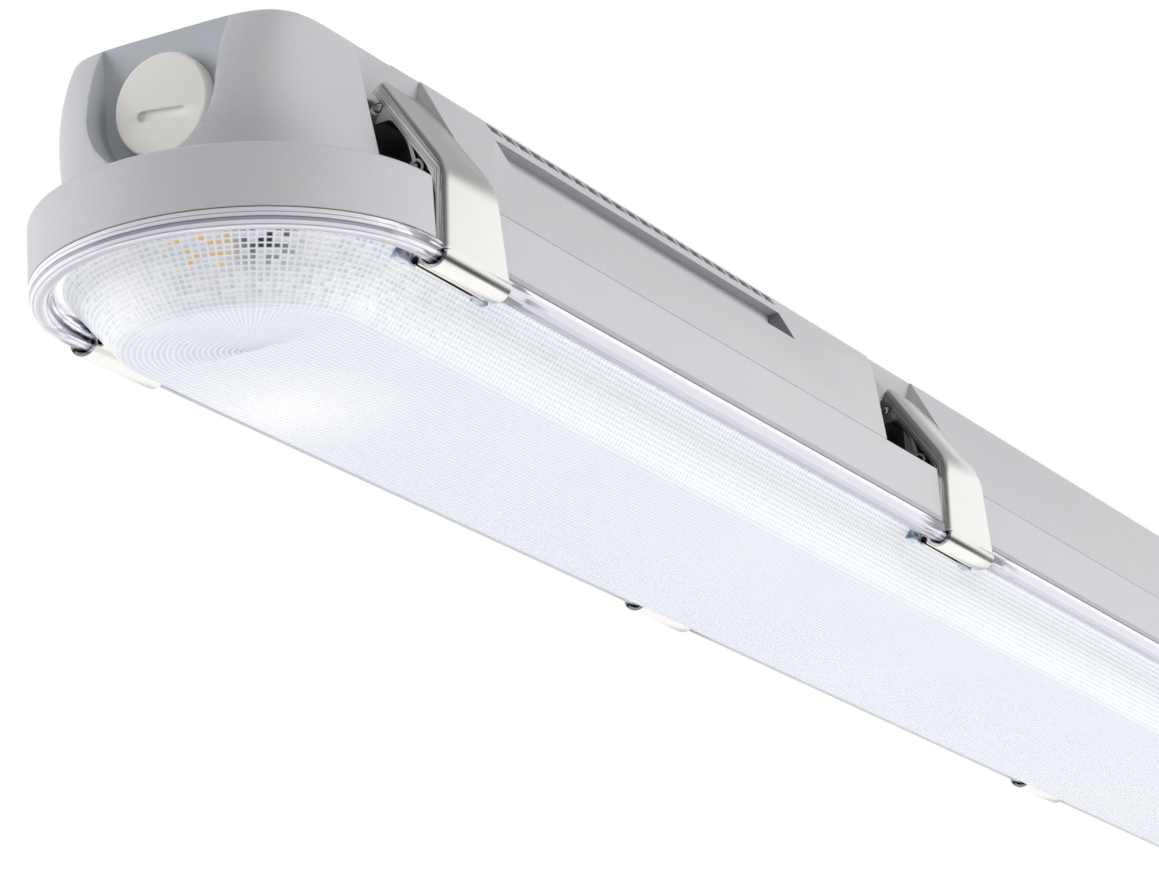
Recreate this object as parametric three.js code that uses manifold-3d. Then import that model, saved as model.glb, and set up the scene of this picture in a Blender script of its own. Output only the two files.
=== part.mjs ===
// Vapor tight linear light fixture, four-foot size, with over-centre latches.
// Millimetres, +Z up. The origin is the centre of the ceiling face, +X runs along the fixture
// to the cable gland, and the blanking plug closes the entry at the -X end.
import * as THREE from "three";
import { mergeVertices } from "three/addons/utils/BufferGeometryUtils.js";
import Module from "manifold-3d";

const wasm = await Module();
wasm.setup();

// Driving sizes of the whole fixture
const overallLength = 1246;
const rimWidth = 100;
const topWidth = 63;
const ledgeDepth = 37.2;
const skirtHeight = 15.6;
const lensDrop = 16.2;

// Clearances and the overrun that every cut takes past the face it opens
const fitGap = 0.3;
const runningGap = 0.3;
const overrun = 4;

// Levels and half sizes that follow from the driving sizes
const rimHalf = rimWidth / 2;
const topHalf = topWidth / 2;
const endCentre = overallLength / 2 - rimHalf;
const ledgeZ = -ledgeDepth;
const skirtBottomZ = ledgeZ - skirtHeight;
const lensBottomZ = skirtBottomZ - lensDrop;

// Facets of the round shapes
const endSegments = 12;
const boreSegments = 12;
const knuckleSegments = 8;
const noseSegments = 5;
const hookSegments = 5;
const postSegments = 4;
const entrySegments = 20;
const hexSides = 6;
const squareSides = 4;

// Housing moulding
const wall = 2.5;
const skirtDraft = 0.2;
const skirtEdgeRadius = 1.2;

// Upper body at the ends: from a narrow, square top to a longer, rounder foot
const neckHalfWidth = 31.3;
const neckDraft = 0.175;
const neckTopReach = 30.3;
const neckFootReach = 40.3;
const neckReachPower = 2.6;
const neckTopSquareness = 5;
const neckFootSquareness = 2.3;
const neckMiddleDepths = [20, 10, 4.5];
const neckEdge = 1.2;
const neckFillet = 3.5;
const neckFilletSteps = 3;

// Rim of the housing: the seal channel and its walls
const latchRecess = 2.6;
const rimWall = 2.6;
const channelWidth = 3.6;
const channelDepth = 8.8;
const channelInnerWall = 2.4;
const innerLipRise = 1.8;
const rimFloorThickness = 2.5;
const channelOuterR = rimHalf - latchRecess - rimWall;
const channelInnerR = channelOuterR - channelWidth;
const cavityRimR = channelInnerR - channelInnerWall;
const channelRoofZ = skirtBottomZ + channelDepth;
const innerLipZ = skirtBottomZ + innerLipRise;

// Diffuser moulding
const lensWall = 1.8;
const webThickness = 1.9;
const lensBottomHalf = 29.5;
const lensCorner = 1.2;
const noseRadius = 2.6;
const noseDrop = 1.6;
const grooveWidth = 2.5;
const grooveCorner = 1.4;
const tongueWidth = 1.8;
const rimTopZ = skirtBottomZ - fitGap;
const webTopZ = innerLipZ - fitGap;
const grooveRoofZ = webTopZ - webThickness;
const noseCentreR = rimHalf - noseRadius;
const noseCentreZ = rimTopZ - noseDrop;
const grooveOuterR = rimHalf - noseRadius - noseRadius;
const grooveInnerR = grooveOuterR - grooveWidth;
const hookLugLength = 5.6;
const hookLugDepth = 3.2;
const hookLugWidth = 1.9;

// Seal
const sealHeight = 2.8;
const sealTopZ = channelRoofZ - fitGap;
const sealBottomZ = sealTopZ - sealHeight;
const tongueTopZ = sealBottomZ - fitGap;

// Latch stations
const latchToEndCentre = 18;
const latchesPerSide = 5;
const pocketHalfWidth = 17.3;
const leverPinInset = 17;
const leverPinRise = 22.2;
const housingPinInset = 9.5;
const housingPinRise = 6.7;
const leverPin = { y: rimHalf - leverPinInset, z: ledgeZ + leverPinRise };
const housingPin = { y: rimHalf - housingPinInset, z: ledgeZ + housingPinRise };

// Latch lever
const leverSheet = 0.9;
const hookRadius = 4;
const hookWrap = 162;
const leverTopInset = 15.1;
const leverTopRise = 28.7;
const leverBendRise = 4.7;
const leverBendOut = 0.9;
const leverTopHalfWidth = 10.9;
const leverBendHalfWidth = 12.1;
const leverFootHalfWidth = 14.8;
const flangeEndRadius = 3.2;
const flangeMidDepth = 5;
const flangeFootDepth = 3;
const beadRadius = 1.25;
const beadBoreRadius = 0.6;
const beadInset = 4.5;
const beadDrop = 1;
const leverFaceY = noseCentreR + hookRadius;
const leverTop = { y: rimHalf - leverTopInset, z: ledgeZ + leverTopRise };
const leverBend = { y: rimHalf + leverBendOut, z: ledgeZ + leverBendRise };
const bead = { y: noseCentreR - beadInset, z: noseCentreZ - beadDrop };

// Latch link and pins
const pinRadius = 1;
const knuckleRadius = 2.1;
const knuckleBore = pinRadius + runningGap;
const linkSheet = 1;
const linkBow = 1.6;
const linkHalfWidth = 8;
const postHalfWidth = 5;
const postRadius = 2.3;
const pinEndPlay = 0.5;
const pocketClearance = 1.8;
const pocketTopDepth = 0.5;
const pocketBackY = leverPin.y - flangeEndRadius - pocketClearance;
const pocketElbowZ = leverPin.z + flangeEndRadius + pocketClearance;
const cavityHalfWidth = pocketBackY - wall;

// Bracket slots and the toothed rail above each of them
const slotLength = 155;
const slotToLatch = 42.7;
const slotCeilingDepth = 5.7;
const slotFloorDepth = 14.2;
const slotBackInset = 19.1;
const notchPitch = 7.1;
const notchLength = 5.8;
const notchTopDepth = 0.7;
const notchFloorDepth = 2.9;
const notchCut = 2.2;
const notchesPerRail = 22;
const notchLean = 1.5;

// Cable entries
const entryFaceReach = 30;
const entryHalfWidth = 17.3;
const entryDepth = 19;
const entryBoreRadius = 10.2;
const entryBossRadius = 13.5;
const entryBossLength = 8;
const entryZ = -entryDepth;
const entryFaceX = endCentre + entryFaceReach;

// Blanking plug and its ring
const threadRadius = entryBoreRadius - runningGap;
const plugHeadRadius = 12.6;
const plugHeadHeight = 3.3;
const plugEdge = 0.9;
const plugShank = 11;
const coinSlotLength = 11.4;
const coinSlotWidth = 1.7;
const coinSlotDepth = 1;
const ringHeight = 1.5;
const ringInnerRadius = 10.5;
const ringOuterRadius = 11.8;

// Cable gland
const glandFlange = 5;
const glandFlangeAcross = 24;
const glandCollar = 7;
const glandCollarRadius = 8.6;
const glandBore = 6.6;
const glandNutAcross = 22;
const glandNutLength = 9;
const glandDome = 4.5;
const glandDomeRadius = 7.4;
const glandDomeMiddleRadius = 10.2;
const glandDomeMiddleDrop = 1.5;
const glandMouth = 5.6;
const glandSealBore = 4.2;

// Gear tray, boards and driver
const traySheet = 1;
const trayDrop = 8.5;
const trayEdgeGap = 1;
const traySideGap = 2.8;
const trayEndReach = 7;
const trayCorner = 9;
const trayTopZ = ledgeZ - trayDrop;
const trayEdge = trayDrop - rimFloorThickness - trayEdgeGap;
const trayHalfWidth = cavityRimR - traySideGap;
const trayHalfLength = endCentre + trayEndReach;
const boardRows = 2;
const boardsPerRow = 2;
const boardWidth = 22;
const boardThickness = 1.2;
const boardGap = 4;
const boardEndGap = 18;
const boardRun = trayHalfLength - boardEndGap + trayHalfLength - boardEndGap + boardGap;
const boardLength = boardRun / boardsPerRow - boardGap;
const ledCount = 12;
const ledSide = 3;
const ledHeight = 0.7;
const driverLength = 210;
const driverWidth = 40;
const driverHeight = 24;
const driverChamfer = 3;
const driverEar = 8;
const driverEarHeight = 2;
const blockLength = 34;
const blockWidth = 22;
const blockHeight = 15;
const blockWays = 5;
const blockHole = 1.8;
const blockHoleDepth = 7;
const blockFromPost = 60;
const trayPostRadius = 4.5;
const trayPostBore = 2;
const trayPostBoreDepth = 14;
const trayPostToEndCentre = 93;
const trayPosts = 3;
const screwHeadRadius = 3.6;
const screwHeadHeight = 1.8;
const screwLength = 12;

// Colours and finishes
const paint = (color, roughness, metalness) => new THREE.MeshStandardMaterial({ color, roughness, metalness });
const housingPlastic = paint(0xcbccce, 0.55, 0);
const clearPlastic = paint(0xe4e9f2, 0.15, 0);
const sealFoam = paint(0x2e3033, 0.9, 0);
const stainless = paint(0xd3d1cc, 0.28, 1);
const plugPlastic = paint(0xdcdad3, 0.5, 0);
const glandPlastic = paint(0xb9bdc0, 0.5, 0);
const rubber = paint(0x222326, 0.85, 0);
const whiteSteel = paint(0xf2f2ee, 0.4, 0.1);
const boardWhite = paint(0xf4f3ea, 0.5, 0);
const driverPlastic = paint(0xe7e8ea, 0.45, 0);
const blockPlastic = paint(0xd9d8d0, 0.5, 0);
const zincSteel = paint(0xb6b8ba, 0.35, 1);

// Closed mesh to solid and back
function solid(geometry) {
  const bare = geometry.clone();
  bare.deleteAttribute("normal");
  bare.deleteAttribute("uv");
  const merged = mergeVertices(bare);
  const vertProperties = new Float32Array(merged.attributes.position.array);
  const triVerts = new Uint32Array(merged.index.array);
  return new wasm.Manifold(new wasm.Mesh({ numProp: 3, vertProperties, triVerts }));
}

function geometryOf(body) {
  const mesh = body.getMesh();
  const geometry = new THREE.BufferGeometry();
  geometry.setAttribute("position", new THREE.BufferAttribute(mesh.vertProperties, mesh.numProp));
  geometry.setIndex(new THREE.BufferAttribute(mesh.triVerts, 1));
  return geometry;
}

function union(bodies) {
  return bodies.reduce((sum, body) => sum.add(body));
}

function cut(body, tools) {
  return body.subtract(union(tools));
}

// Prisms of an outline along each axis
function prism(points, depth, basis, origin) {
  const shape = new THREE.Shape(points.map(([a, b]) => new THREE.Vector2(a, b)));
  const geometry = new THREE.ExtrudeGeometry(shape, { depth, bevelEnabled: false, steps: 1 });
  geometry.applyMatrix4(new THREE.Matrix4().makeBasis(...basis).setPosition(...origin));
  return solid(geometry);
}

const X = new THREE.Vector3(1, 0, 0);
const Y = new THREE.Vector3(0, 1, 0);
const Z = new THREE.Vector3(0, 0, 1);
const minusY = new THREE.Vector3(0, -1, 0);

// Outline in (y, z), from x0 to x1
const alongX = (points, x0, x1) => prism(points, x1 - x0, [Y, Z, X], [x0, 0, 0]);
// Outline in (x, z), from y0 to y1
const alongY = (points, y0, y1) => prism(points, y1 - y0, [X, Z, minusY], [0, y1, 0]);
// Outline in (x, y), from z0 to z1
const alongZ = (points, z0, z1) => prism(points, z1 - z0, [X, Y, Z], [0, 0, z0]);

function rectangle(a0, a1, b0, b1) {
  return [[a0, b0], [a1, b0], [a1, b1], [a0, b1]];
}

function block(x0, x1, y0, y1, z0, z1) {
  return alongX(rectangle(y0, y1, z0, z1), x0, x1);
}

// Points of a circular arc, from one angle to another, in degrees
function arc(a, b, radius, from, to, segments) {
  return Array.from({ length: segments + 1 }, (_, i) => {
    const turn = THREE.MathUtils.degToRad(from + ((to - from) * i) / segments);
    return [a + radius * Math.cos(turn), b + radius * Math.sin(turn)];
  });
}

const fullTurn = 360;
const quarterTurn = fullTurn / 4;
const halfTurn = fullTurn / 2;

function circle(a, b, radius, segments) {
  return arc(a, b, radius, 0, fullTurn, segments).slice(0, -1);
}

function hexagon(a, b, across) {
  const corner = across / 2 / Math.cos(Math.PI / hexSides);
  return circle(a, b, corner, hexSides);
}

// Plan outlines: a straight-sided body with round ends, as [x, y] pairs
function stadium(radius) {
  const right = arc(endCentre, 0, radius, -quarterTurn, quarterTurn, endSegments);
  const left = arc(-endCentre, 0, radius, quarterTurn, quarterTurn + halfTurn, endSegments);
  return [...right, ...left];
}

// The same with squarer ends: a superellipse of the given half width and reach
function squareEnded(half, reach, squareness) {
  const power = 2 / squareness;
  const bulge = (value) => Math.sign(value) * Math.abs(value) ** power;
  const right = arc(0, 0, 1, -quarterTurn, quarterTurn, endSegments)
    .map(([c, s]) => [endCentre + reach * bulge(c), half * bulge(s)]);
  return [...right, ...right.map(([x, y]) => [-x, -y])];
}

// Closed solid through plan outlines at rising levels
function loft(levels) {
  const count = levels[0].plan.length;
  const positions = levels.flatMap(({ plan, z }) => plan.flatMap(([x, y]) => [x, y, z]));
  const index = [];
  for (let level = 0; level < levels.length - 1; level += 1) {
    for (let i = 0; i < count; i += 1) {
      const next = (i + 1) % count;
      const [a, b] = [level * count + i, level * count + next];
      const [c, d] = [a + count, b + count];
      index.push(a, b, d, a, d, c);
    }
  }
  const capOf = (level) => THREE.ShapeUtils.triangulateShape(
    levels[level].plan.map(([x, y]) => new THREE.Vector2(x, y)), []);
  const top = (levels.length - 1) * count;
  capOf(0).forEach(([a, b, c]) => index.push(a, c, b));
  capOf(levels.length - 1).forEach(([a, b, c]) => index.push(top + a, top + b, top + c));
  return solid(indexed(positions, index));
}

function indexed(positions, index) {
  const geometry = new THREE.BufferGeometry();
  geometry.setAttribute("position", new THREE.Float32BufferAttribute(positions, 3));
  geometry.setIndex(index);
  return geometry;
}

// Ring with the section [r, z] carried round the fixture
function ring(section) {
  const loops = section.map(([r, z]) => stadium(r).map(([x, y]) => [x, y, z]));
  const count = loops[0].length;
  const positions = loops.flat(2);
  const index = [];
  for (let j = 0; j < section.length; j += 1) {
    const after = (j + 1) % section.length;
    for (let i = 0; i < count; i += 1) {
      const next = (i + 1) % count;
      const [a, b] = [j * count + i, j * count + next];
      const [c, d] = [after * count + i, after * count + next];
      index.push(a, b, d, a, d, c);
    }
  }
  return solid(indexed(positions, index));
}

// Round body about a line along X, from [radius, x] pairs that start and end on the line
function latheAlongX(profile, segments, z) {
  const points = profile.map(([radius, x]) => new THREE.Vector2(radius, x));
  const geometry = new THREE.LatheGeometry(points, segments);
  geometry.applyMatrix4(new THREE.Matrix4().makeBasis(Y, X, Z).scale(new THREE.Vector3(1, 1, -1)));
  geometry.translate(0, 0, z);
  return solid(geometry);
}

// Half width of the sloping side at a level of the upper body
function sideHalf(z) {
  const slope = (rimHalf - topHalf) / ledgeDepth;
  return topHalf - z * slope;
}

// Places along X spread evenly from one end of a run to the other
function spread(count, lastX) {
  const pitch = (lastX + lastX) / (count - 1);
  return Array.from({ length: count }, (_, i) => i * pitch - lastX);
}

const lastLatchX = endCentre - latchToEndCentre;
const latchXs = spread(latchesPerSide, lastLatchX);
const latchPitch = latchXs[1] - latchXs[0];
const sides = [-1, 1];

const mirrored = (points, side) => points.map(([y, z]) => [side * y, z]);

// Plan outline of the upper body at a level, grown all round by a margin
function neckLevel(z, margin) {
  const share = Math.min(-z / ledgeDepth, 1);
  const reach = neckFootReach - (neckFootReach - neckTopReach) * (1 - share) ** neckReachPower;
  const squareness = THREE.MathUtils.lerp(neckTopSquareness, neckFootSquareness, share);
  return { plan: squareEnded(neckHalfWidth - z * neckDraft + margin, reach + margin, squareness), z };
}

// Upper body: drafted sides, a soft top edge and a fillet at the ledge
function neckBody() {
  const levels = [];
  for (let i = 0; i <= neckFilletSteps; i += 1) {
    const turn = (Math.PI / 2) * (i / neckFilletSteps);
    const flare = neckFillet * (1 - Math.sin(turn));
    levels.push(neckLevel(ledgeZ + neckFillet * (1 - Math.cos(turn)), flare));
  }
  neckMiddleDepths.forEach((depth) => levels.push(neckLevel(-depth, 0)));
  levels.push(neckLevel(-neckEdge, 0), neckLevel(0, -neckEdge));
  return loft(levels);
}

function skirtBody() {
  const topR = rimHalf - skirtDraft;
  return loft([
    { plan: stadium(rimHalf - skirtDraft), z: skirtBottomZ },
    { plan: stadium(rimHalf), z: skirtBottomZ + skirtDraft },
    { plan: stadium(topR), z: ledgeZ - skirtEdgeRadius },
    { plan: stadium(topR - skirtEdgeRadius), z: ledgeZ },
  ]);
}

// Sloping side panels between the first and the last latch
function panelBody() {
  const bottomHalf = rimHalf - skirtDraft;
  const outline = [
    [-topHalf, 0], [-bottomHalf, ledgeZ], [-bottomHalf, ledgeZ - skirtEdgeRadius],
    [bottomHalf, ledgeZ - skirtEdgeRadius], [bottomHalf, ledgeZ], [topHalf, 0],
  ];
  return alongX(outline, -lastLatchX, lastLatchX);
}

// Room inside for the tray, the driver and the wiring
function cavity() {
  const floorZ = ledgeZ - rimFloorThickness;
  const endRoomX = lastLatchX + pocketHalfWidth + wall;
  const middle = block(-lastLatchX, lastLatchX, -cavityHalfWidth, cavityHalfWidth, floorZ - overrun, -wall);
  const depths = [overrun - floorZ, ...neckMiddleDepths, wall + neckEdge];
  const ends = loft(depths.map((depth) => neckLevel(-depth, -wall)))
    .subtract(block(-endRoomX, endRoomX, -rimWidth, rimWidth, floorZ - rimWidth, 0));
  const endRooms = cut(ends, sides.map((end) => entryPrism(end, wall)));
  const passage = block(-endCentre - wall, endCentre + wall, -cavityHalfWidth, cavityHalfWidth,
    floorZ - overrun, -wall);
  const tray = loft([
    { plan: stadium(cavityRimR), z: skirtBottomZ - overrun },
    { plan: stadium(cavityRimR), z: floorZ },
  ]);
  return union([middle, endRooms, passage, tray, ...sideHollows()]);
}

// Cored space behind the sloping sides, between one latch pocket and the next
function sideHollows() {
  const roofZ = -slotFloorDepth - wall;
  const floorZ = ledgeZ - rimFloorThickness;
  const inner = cavityHalfWidth - wall;
  const outline = [
    [inner, roofZ], [sideHalf(roofZ) - wall, roofZ], [rimHalf - skirtDraft - wall - wall, ledgeZ],
    [cavityRimR, floorZ - wall], [inner, floorZ - wall],
  ];
  const reach = pocketHalfWidth + wall;
  return latchXs.slice(0, -1).flatMap((x) => sides.map(
    (side) => alongX(mirrored(outline, side), x + reach, x + latchPitch - reach)));
}

// Recess in the end for the entry: straight walls and a bottom round the bore
function entryPrism(end, grow) {
  const half = entryHalfWidth + grow;
  const outline = [
    [half, overrun], ...arc(0, entryZ, half, 0, -halfTurn, endSegments), [-half, overrun],
  ];
  const from = entryFaceX - grow;
  const to = entryFaceX + rimWidth;
  return end > 0 ? alongX(outline, from, to) : alongX(outline, -to, -from);
}

function entryCylinder(end, radius, from, to) {
  const outline = circle(0, entryZ, radius, entrySegments);
  return end > 0 ? alongX(outline, from, to) : alongX(outline, -to, -from);
}

// Latch pocket in the sloping side, and the shallow recess below it in the skirt
function latchPocket(x, side) {
  const recessY = rimHalf - latchRecess;
  const outline = [
    [topHalf - pocketTopDepth, overrun], [topHalf - pocketTopDepth, 0], [pocketBackY, pocketElbowZ],
    [pocketBackY, ledgeZ], [recessY, ledgeZ], [recessY, skirtBottomZ - overrun],
    [rimWidth, skirtBottomZ - overrun], [rimWidth, overrun],
  ];
  return alongX(mirrored(outline, side), x - pocketHalfWidth, x + pocketHalfWidth);
}

// Post that carries the latch's housing pin
function latchPost(x, side) {
  const outline = [
    [pocketBackY - wall / 2, ledgeZ - wall / 2], [housingPin.y + postRadius, ledgeZ - wall / 2],
    ...arc(housingPin.y, housingPin.z, postRadius, 0, halfTurn, postSegments),
    [housingPin.y - postRadius, ledgeZ + postRadius], [pocketBackY - wall / 2, ledgeZ + postRadius],
  ];
  return alongX(mirrored(outline, side), x - postHalfWidth, x + postHalfWidth);
}

function latchPostBore(x, side) {
  const outline = circle(housingPin.y, housingPin.z, pinRadius + fitGap, knuckleSegments);
  const reach = postHalfWidth + overrun;
  return alongX(mirrored(outline, side), x - reach, x + reach);
}

// Slots for the mounting brackets, beside the end latches
const slotCentreX = lastLatchX - slotToLatch - slotLength / 2;
const slotBackY = rimHalf - slotBackInset;

function bracketSlot(end, side) {
  const outline = rectangle(slotBackY, rimWidth, -slotFloorDepth, -slotCeilingDepth);
  const centre = end * slotCentreX;
  return alongX(mirrored(outline, side), centre - slotLength / 2, centre + slotLength / 2);
}

// Leaning notches of the toothed rail above a slot
function railNotches(end, side) {
  const faceY = sideHalf(-notchFloorDepth) - notchCut;
  const first = end * slotCentreX - ((notchesPerRail - 1) / 2) * notchPitch;
  return Array.from({ length: notchesPerRail }, (_, i) => {
    const x = first + i * notchPitch - notchLength / 2;
    const outline = [
      [x, -notchTopDepth], [x + notchLength, -notchTopDepth],
      [x + notchLength + notchLean, -notchFloorDepth], [x + notchLean, -notchFloorDepth],
    ];
    return side > 0 ? alongY(outline, faceY, rimWidth) : alongY(outline, -rimWidth, -faceY);
  });
}

const lastTrayPostX = endCentre - trayPostToEndCentre;
const trayPostXs = spread(trayPosts, lastTrayPostX);

function housing() {
  const trayPostFoot = trayTopZ + fitGap;
  const shell = union([neckBody(), skirtBody(), panelBody()]).subtract(cavity());
  const inside = [
    ...sides.map((end) => entryCylinder(end, entryBossRadius, entryFaceX - entryBossLength, entryFaceX)),
    ...trayPostXs.map((x) => alongZ(circle(x, 0, trayPostRadius, boreSegments), trayPostFoot, -wall / 2)),
  ];
  const pairs = latchXs.flatMap((x) => sides.map((side) => [x, side]));
  const corners = sides.flatMap((end) => sides.map((side) => [end, side]));
  const sealChannel = ring(rectangle(channelInnerR, channelOuterR, skirtBottomZ - overrun, channelRoofZ));
  const lipTrim = loft([
    { plan: stadium(channelOuterR), z: skirtBottomZ - overrun },
    { plan: stadium(channelOuterR), z: innerLipZ },
  ]);
  const body = cut(shell.add(union(inside)), [
    sealChannel,
    lipTrim,
    ...pairs.map(([x, side]) => latchPocket(x, side)),
    ...corners.map(([end, side]) => bracketSlot(end, side)),
    ...corners.flatMap(([end, side]) => railNotches(end, side)),
    ...sides.map((end) => entryPrism(end, 0)),
    ...sides.map((end) => entryCylinder(end, entryBoreRadius, entryFaceX - rimHalf, entryFaceX + overrun)),
    ...trayPostXs.map((x) => alongZ(circle(x, 0, trayPostBore, knuckleSegments),
      trayPostFoot - overrun, trayPostFoot + trayPostBoreDepth)),
  ]);
  const posts = pairs.map(([x, side]) => latchPost(x, side));
  return cut(union([body, ...posts]), pairs.map(([x, side]) => latchPostBore(x, side)));
}

// Diffuser: flat bottom, sloping side, rim with a groove and a rounded nose, and a tongue into the seal
function diffuser() {
  const slope = (grooveInnerR - lensBottomHalf) / (grooveRoofZ - lensBottomZ);
  const skin = lensWall * Math.hypot(1, slope);
  const plateR = lensBottomHalf - lensWall - lensWall;
  const floorZ = lensBottomZ + lensWall;
  const tongueR = channelInnerR + (channelWidth - tongueWidth) / 2;
  const section = [
    [plateR, lensBottomZ], [lensBottomHalf - lensCorner, lensBottomZ],
    [lensBottomHalf + lensCorner * slope, lensBottomZ + lensCorner], [grooveInnerR, grooveRoofZ],
    [grooveOuterR - grooveCorner, grooveRoofZ],
    ...arc(noseCentreR, noseCentreZ, noseRadius, -halfTurn, 0, noseSegments),
    [rimHalf, rimTopZ], [channelOuterR - fitGap, rimTopZ], [channelOuterR - fitGap, webTopZ],
    [tongueR + tongueWidth, webTopZ], [tongueR + tongueWidth, tongueTopZ], [tongueR, tongueTopZ],
    [tongueR, webTopZ], [grooveInnerR - skin + webThickness * slope, webTopZ],
    [lensBottomHalf + lensWall * slope - skin, floorZ], [plateR, floorZ],
  ];
  const plate = loft([
    { plan: stadium(plateR + lensWall / 2), z: lensBottomZ },
    { plan: stadium(plateR + lensWall / 2), z: floorZ },
  ]);
  const lugs = latchXs.flatMap((x) => sides.flatMap((side) => hookLugs(x, side)));
  return union([ring(section), plate, ...lugs]);
}

// Clear lugs in the groove, one past each end of a hook
function hookLugs(x, side) {
  const outline = [
    [grooveInnerR - lensWall, grooveRoofZ + webThickness / 2],
    [grooveInnerR - lensWall, grooveRoofZ - hookLugDepth / 2],
    [grooveInnerR + hookLugWidth / 2, grooveRoofZ - hookLugDepth],
    [grooveInnerR + hookLugWidth, grooveRoofZ - hookLugDepth],
    [grooveInnerR + hookLugWidth, grooveRoofZ + webThickness / 2],
  ];
  const near = leverFootHalfWidth + runningGap;
  const far = near + hookLugLength;
  return sides.map((end) => {
    const [from, to] = end > 0 ? [x + near, x + far] : [x - far, x - near];
    return alongX(mirrored(outline, side), from, to);
  });
}

function gasket() {
  return ring(rectangle(channelInnerR + fitGap, channelOuterR - fitGap, sealBottomZ, sealTopZ));
}

// Round bar along X, centred on the latch, through a point of its section
function barAt({ y, z }, radius, halfLength) {
  return alongX(circle(y, z, radius, knuckleSegments), -halfLength, halfLength);
}

// Latch lever: an outer face with a bend, two side flanges, the hook and its rolled bead
function latchLever() {
  const along = new THREE.Vector2(leverBend.y - leverTop.y, leverBend.z - leverTop.z).normalize();
  const inward = new THREE.Vector2(along.y, -along.x);
  const top = new THREE.Vector2(leverTop.y, leverTop.z);
  const pin = new THREE.Vector2(leverPin.y, leverPin.z);
  const flangeTopReach = pin.sub(top).dot(inward) + flangeEndRadius;
  const footZ = rimTopZ + leverSheet;
  const face = [[leverFaceY, footZ], [leverBend.y, leverBend.z], [leverTop.y, leverTop.z]];
  const corner = top.clone().addScaledVector(inward, flangeTopReach - flangeEndRadius);
  const cornerEnd = top.clone().addScaledVector(inward, flangeTopReach);
  cornerEnd.addScaledVector(along, flangeEndRadius);
  const pinSide = cornerEnd.clone().addScaledVector(along, flangeEndRadius);
  const flangeInner = [
    [corner.x, corner.y], [cornerEnd.x, cornerEnd.y], [pinSide.x, pinSide.y],
    [leverBend.y - flangeMidDepth, leverBend.z + flangeMidDepth / 2],
    [leverFaceY - flangeFootDepth, leverBend.z - flangeMidDepth],
    [leverFaceY - flangeFootDepth, footZ + flangeFootDepth],
    [leverFaceY - leverSheet, footZ],
  ];
  const region = alongX([...face, ...flangeInner], -rimHalf, rimHalf);
  const shift = inward.clone().multiplyScalar(leverSheet);
  const hollowOutline = [
    [leverFaceY - leverSheet, footZ - overrun], [leverFaceY - leverSheet, leverBend.z],
    [leverTop.y + shift.x - along.x * overrun, leverTop.z + shift.y - along.y * overrun],
    [leverTop.y - rimHalf, leverTop.z + overrun], [leverTop.y - rimHalf, footZ - overrun],
  ];
  const hollow = alongX(hollowOutline, -rimHalf, rimHalf).intersect(leverFront(leverSheet));
  const channel = region.intersect(leverFront(0)).subtract(hollow);
  const hook = alongX([
    ...arc(noseCentreR, noseCentreZ, hookRadius, -hookWrap, 0, hookSegments),
    [leverFaceY, footZ + leverSheet], [leverFaceY - leverSheet, footZ + leverSheet],
    ...arc(noseCentreR, noseCentreZ, hookRadius - leverSheet, 0, -hookWrap, hookSegments),
  ], -rimHalf, rimHalf).intersect(leverFront(0));
  const roll = barAt(bead, beadRadius, leverFootHalfWidth);
  const eye = barAt(bead, beadBoreRadius, rimHalf);
  const pinHoles = barAt(leverPin, knuckleBore, rimHalf);
  return cut(union([channel, hook, roll]), [eye, pinHoles]);
}

// Front view of the lever, wider towards its foot, as a bar through the latch
function leverFront(inset) {
  const topZ = inset > 0 ? leverTop.z + overrun : leverTop.z;
  const footZ = noseCentreZ - hookRadius - overrun;
  const widths = [
    [leverTopHalfWidth - inset, topZ], [leverBendHalfWidth - inset, leverBend.z],
    [leverFootHalfWidth - inset, noseCentreZ], [leverFootHalfWidth - inset, footZ],
  ];
  const left = widths.map(([x, z]) => [-x, z]);
  return alongY([...widths.toReversed(), ...left], 0, rimWidth);
}

// Link: a bowed leaf with a long knuckle at the lever and two short ones beside the post
function latchLink() {
  const from = new THREE.Vector2(housingPin.y, housingPin.z);
  const to = new THREE.Vector2(leverPin.y, leverPin.z);
  const span = to.clone().sub(from);
  const out = new THREE.Vector2(span.y, -span.x).normalize();
  const leafSteps = 4;
  const leafAt = (share, offset) => {
    const lift = linkBow * Math.sin(Math.PI * share) + offset;
    const point = from.clone().addScaledVector(span, share).addScaledVector(out, lift);
    return [point.x, point.y];
  };
  const shares = Array.from({ length: leafSteps + 1 }, (_, i) => i / leafSteps);
  const leafOutline = [
    ...shares.map((share) => leafAt(share, linkSheet / 2)),
    ...shares.toReversed().map((share) => leafAt(share, -linkSheet / 2)),
  ];
  const leaf = alongX(leafOutline, -linkHalfWidth, linkHalfWidth);
  const pins = [leverPin, housingPin];
  const knuckles = pins.map((pin) => barAt(pin, knuckleRadius, linkHalfWidth));
  const bores = pins.map((pin) => barAt(pin, knuckleBore, rimHalf));
  const postGap = postHalfWidth + runningGap;
  const windowReach = (postRadius + linkSheet + runningGap) * Math.SQRT2;
  const postWindow = alongX(circle(housingPin.y, housingPin.z, windowReach, squareSides), -postGap, postGap);
  return cut(union([leaf, ...knuckles]), [...bores, postWindow]);
}

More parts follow.
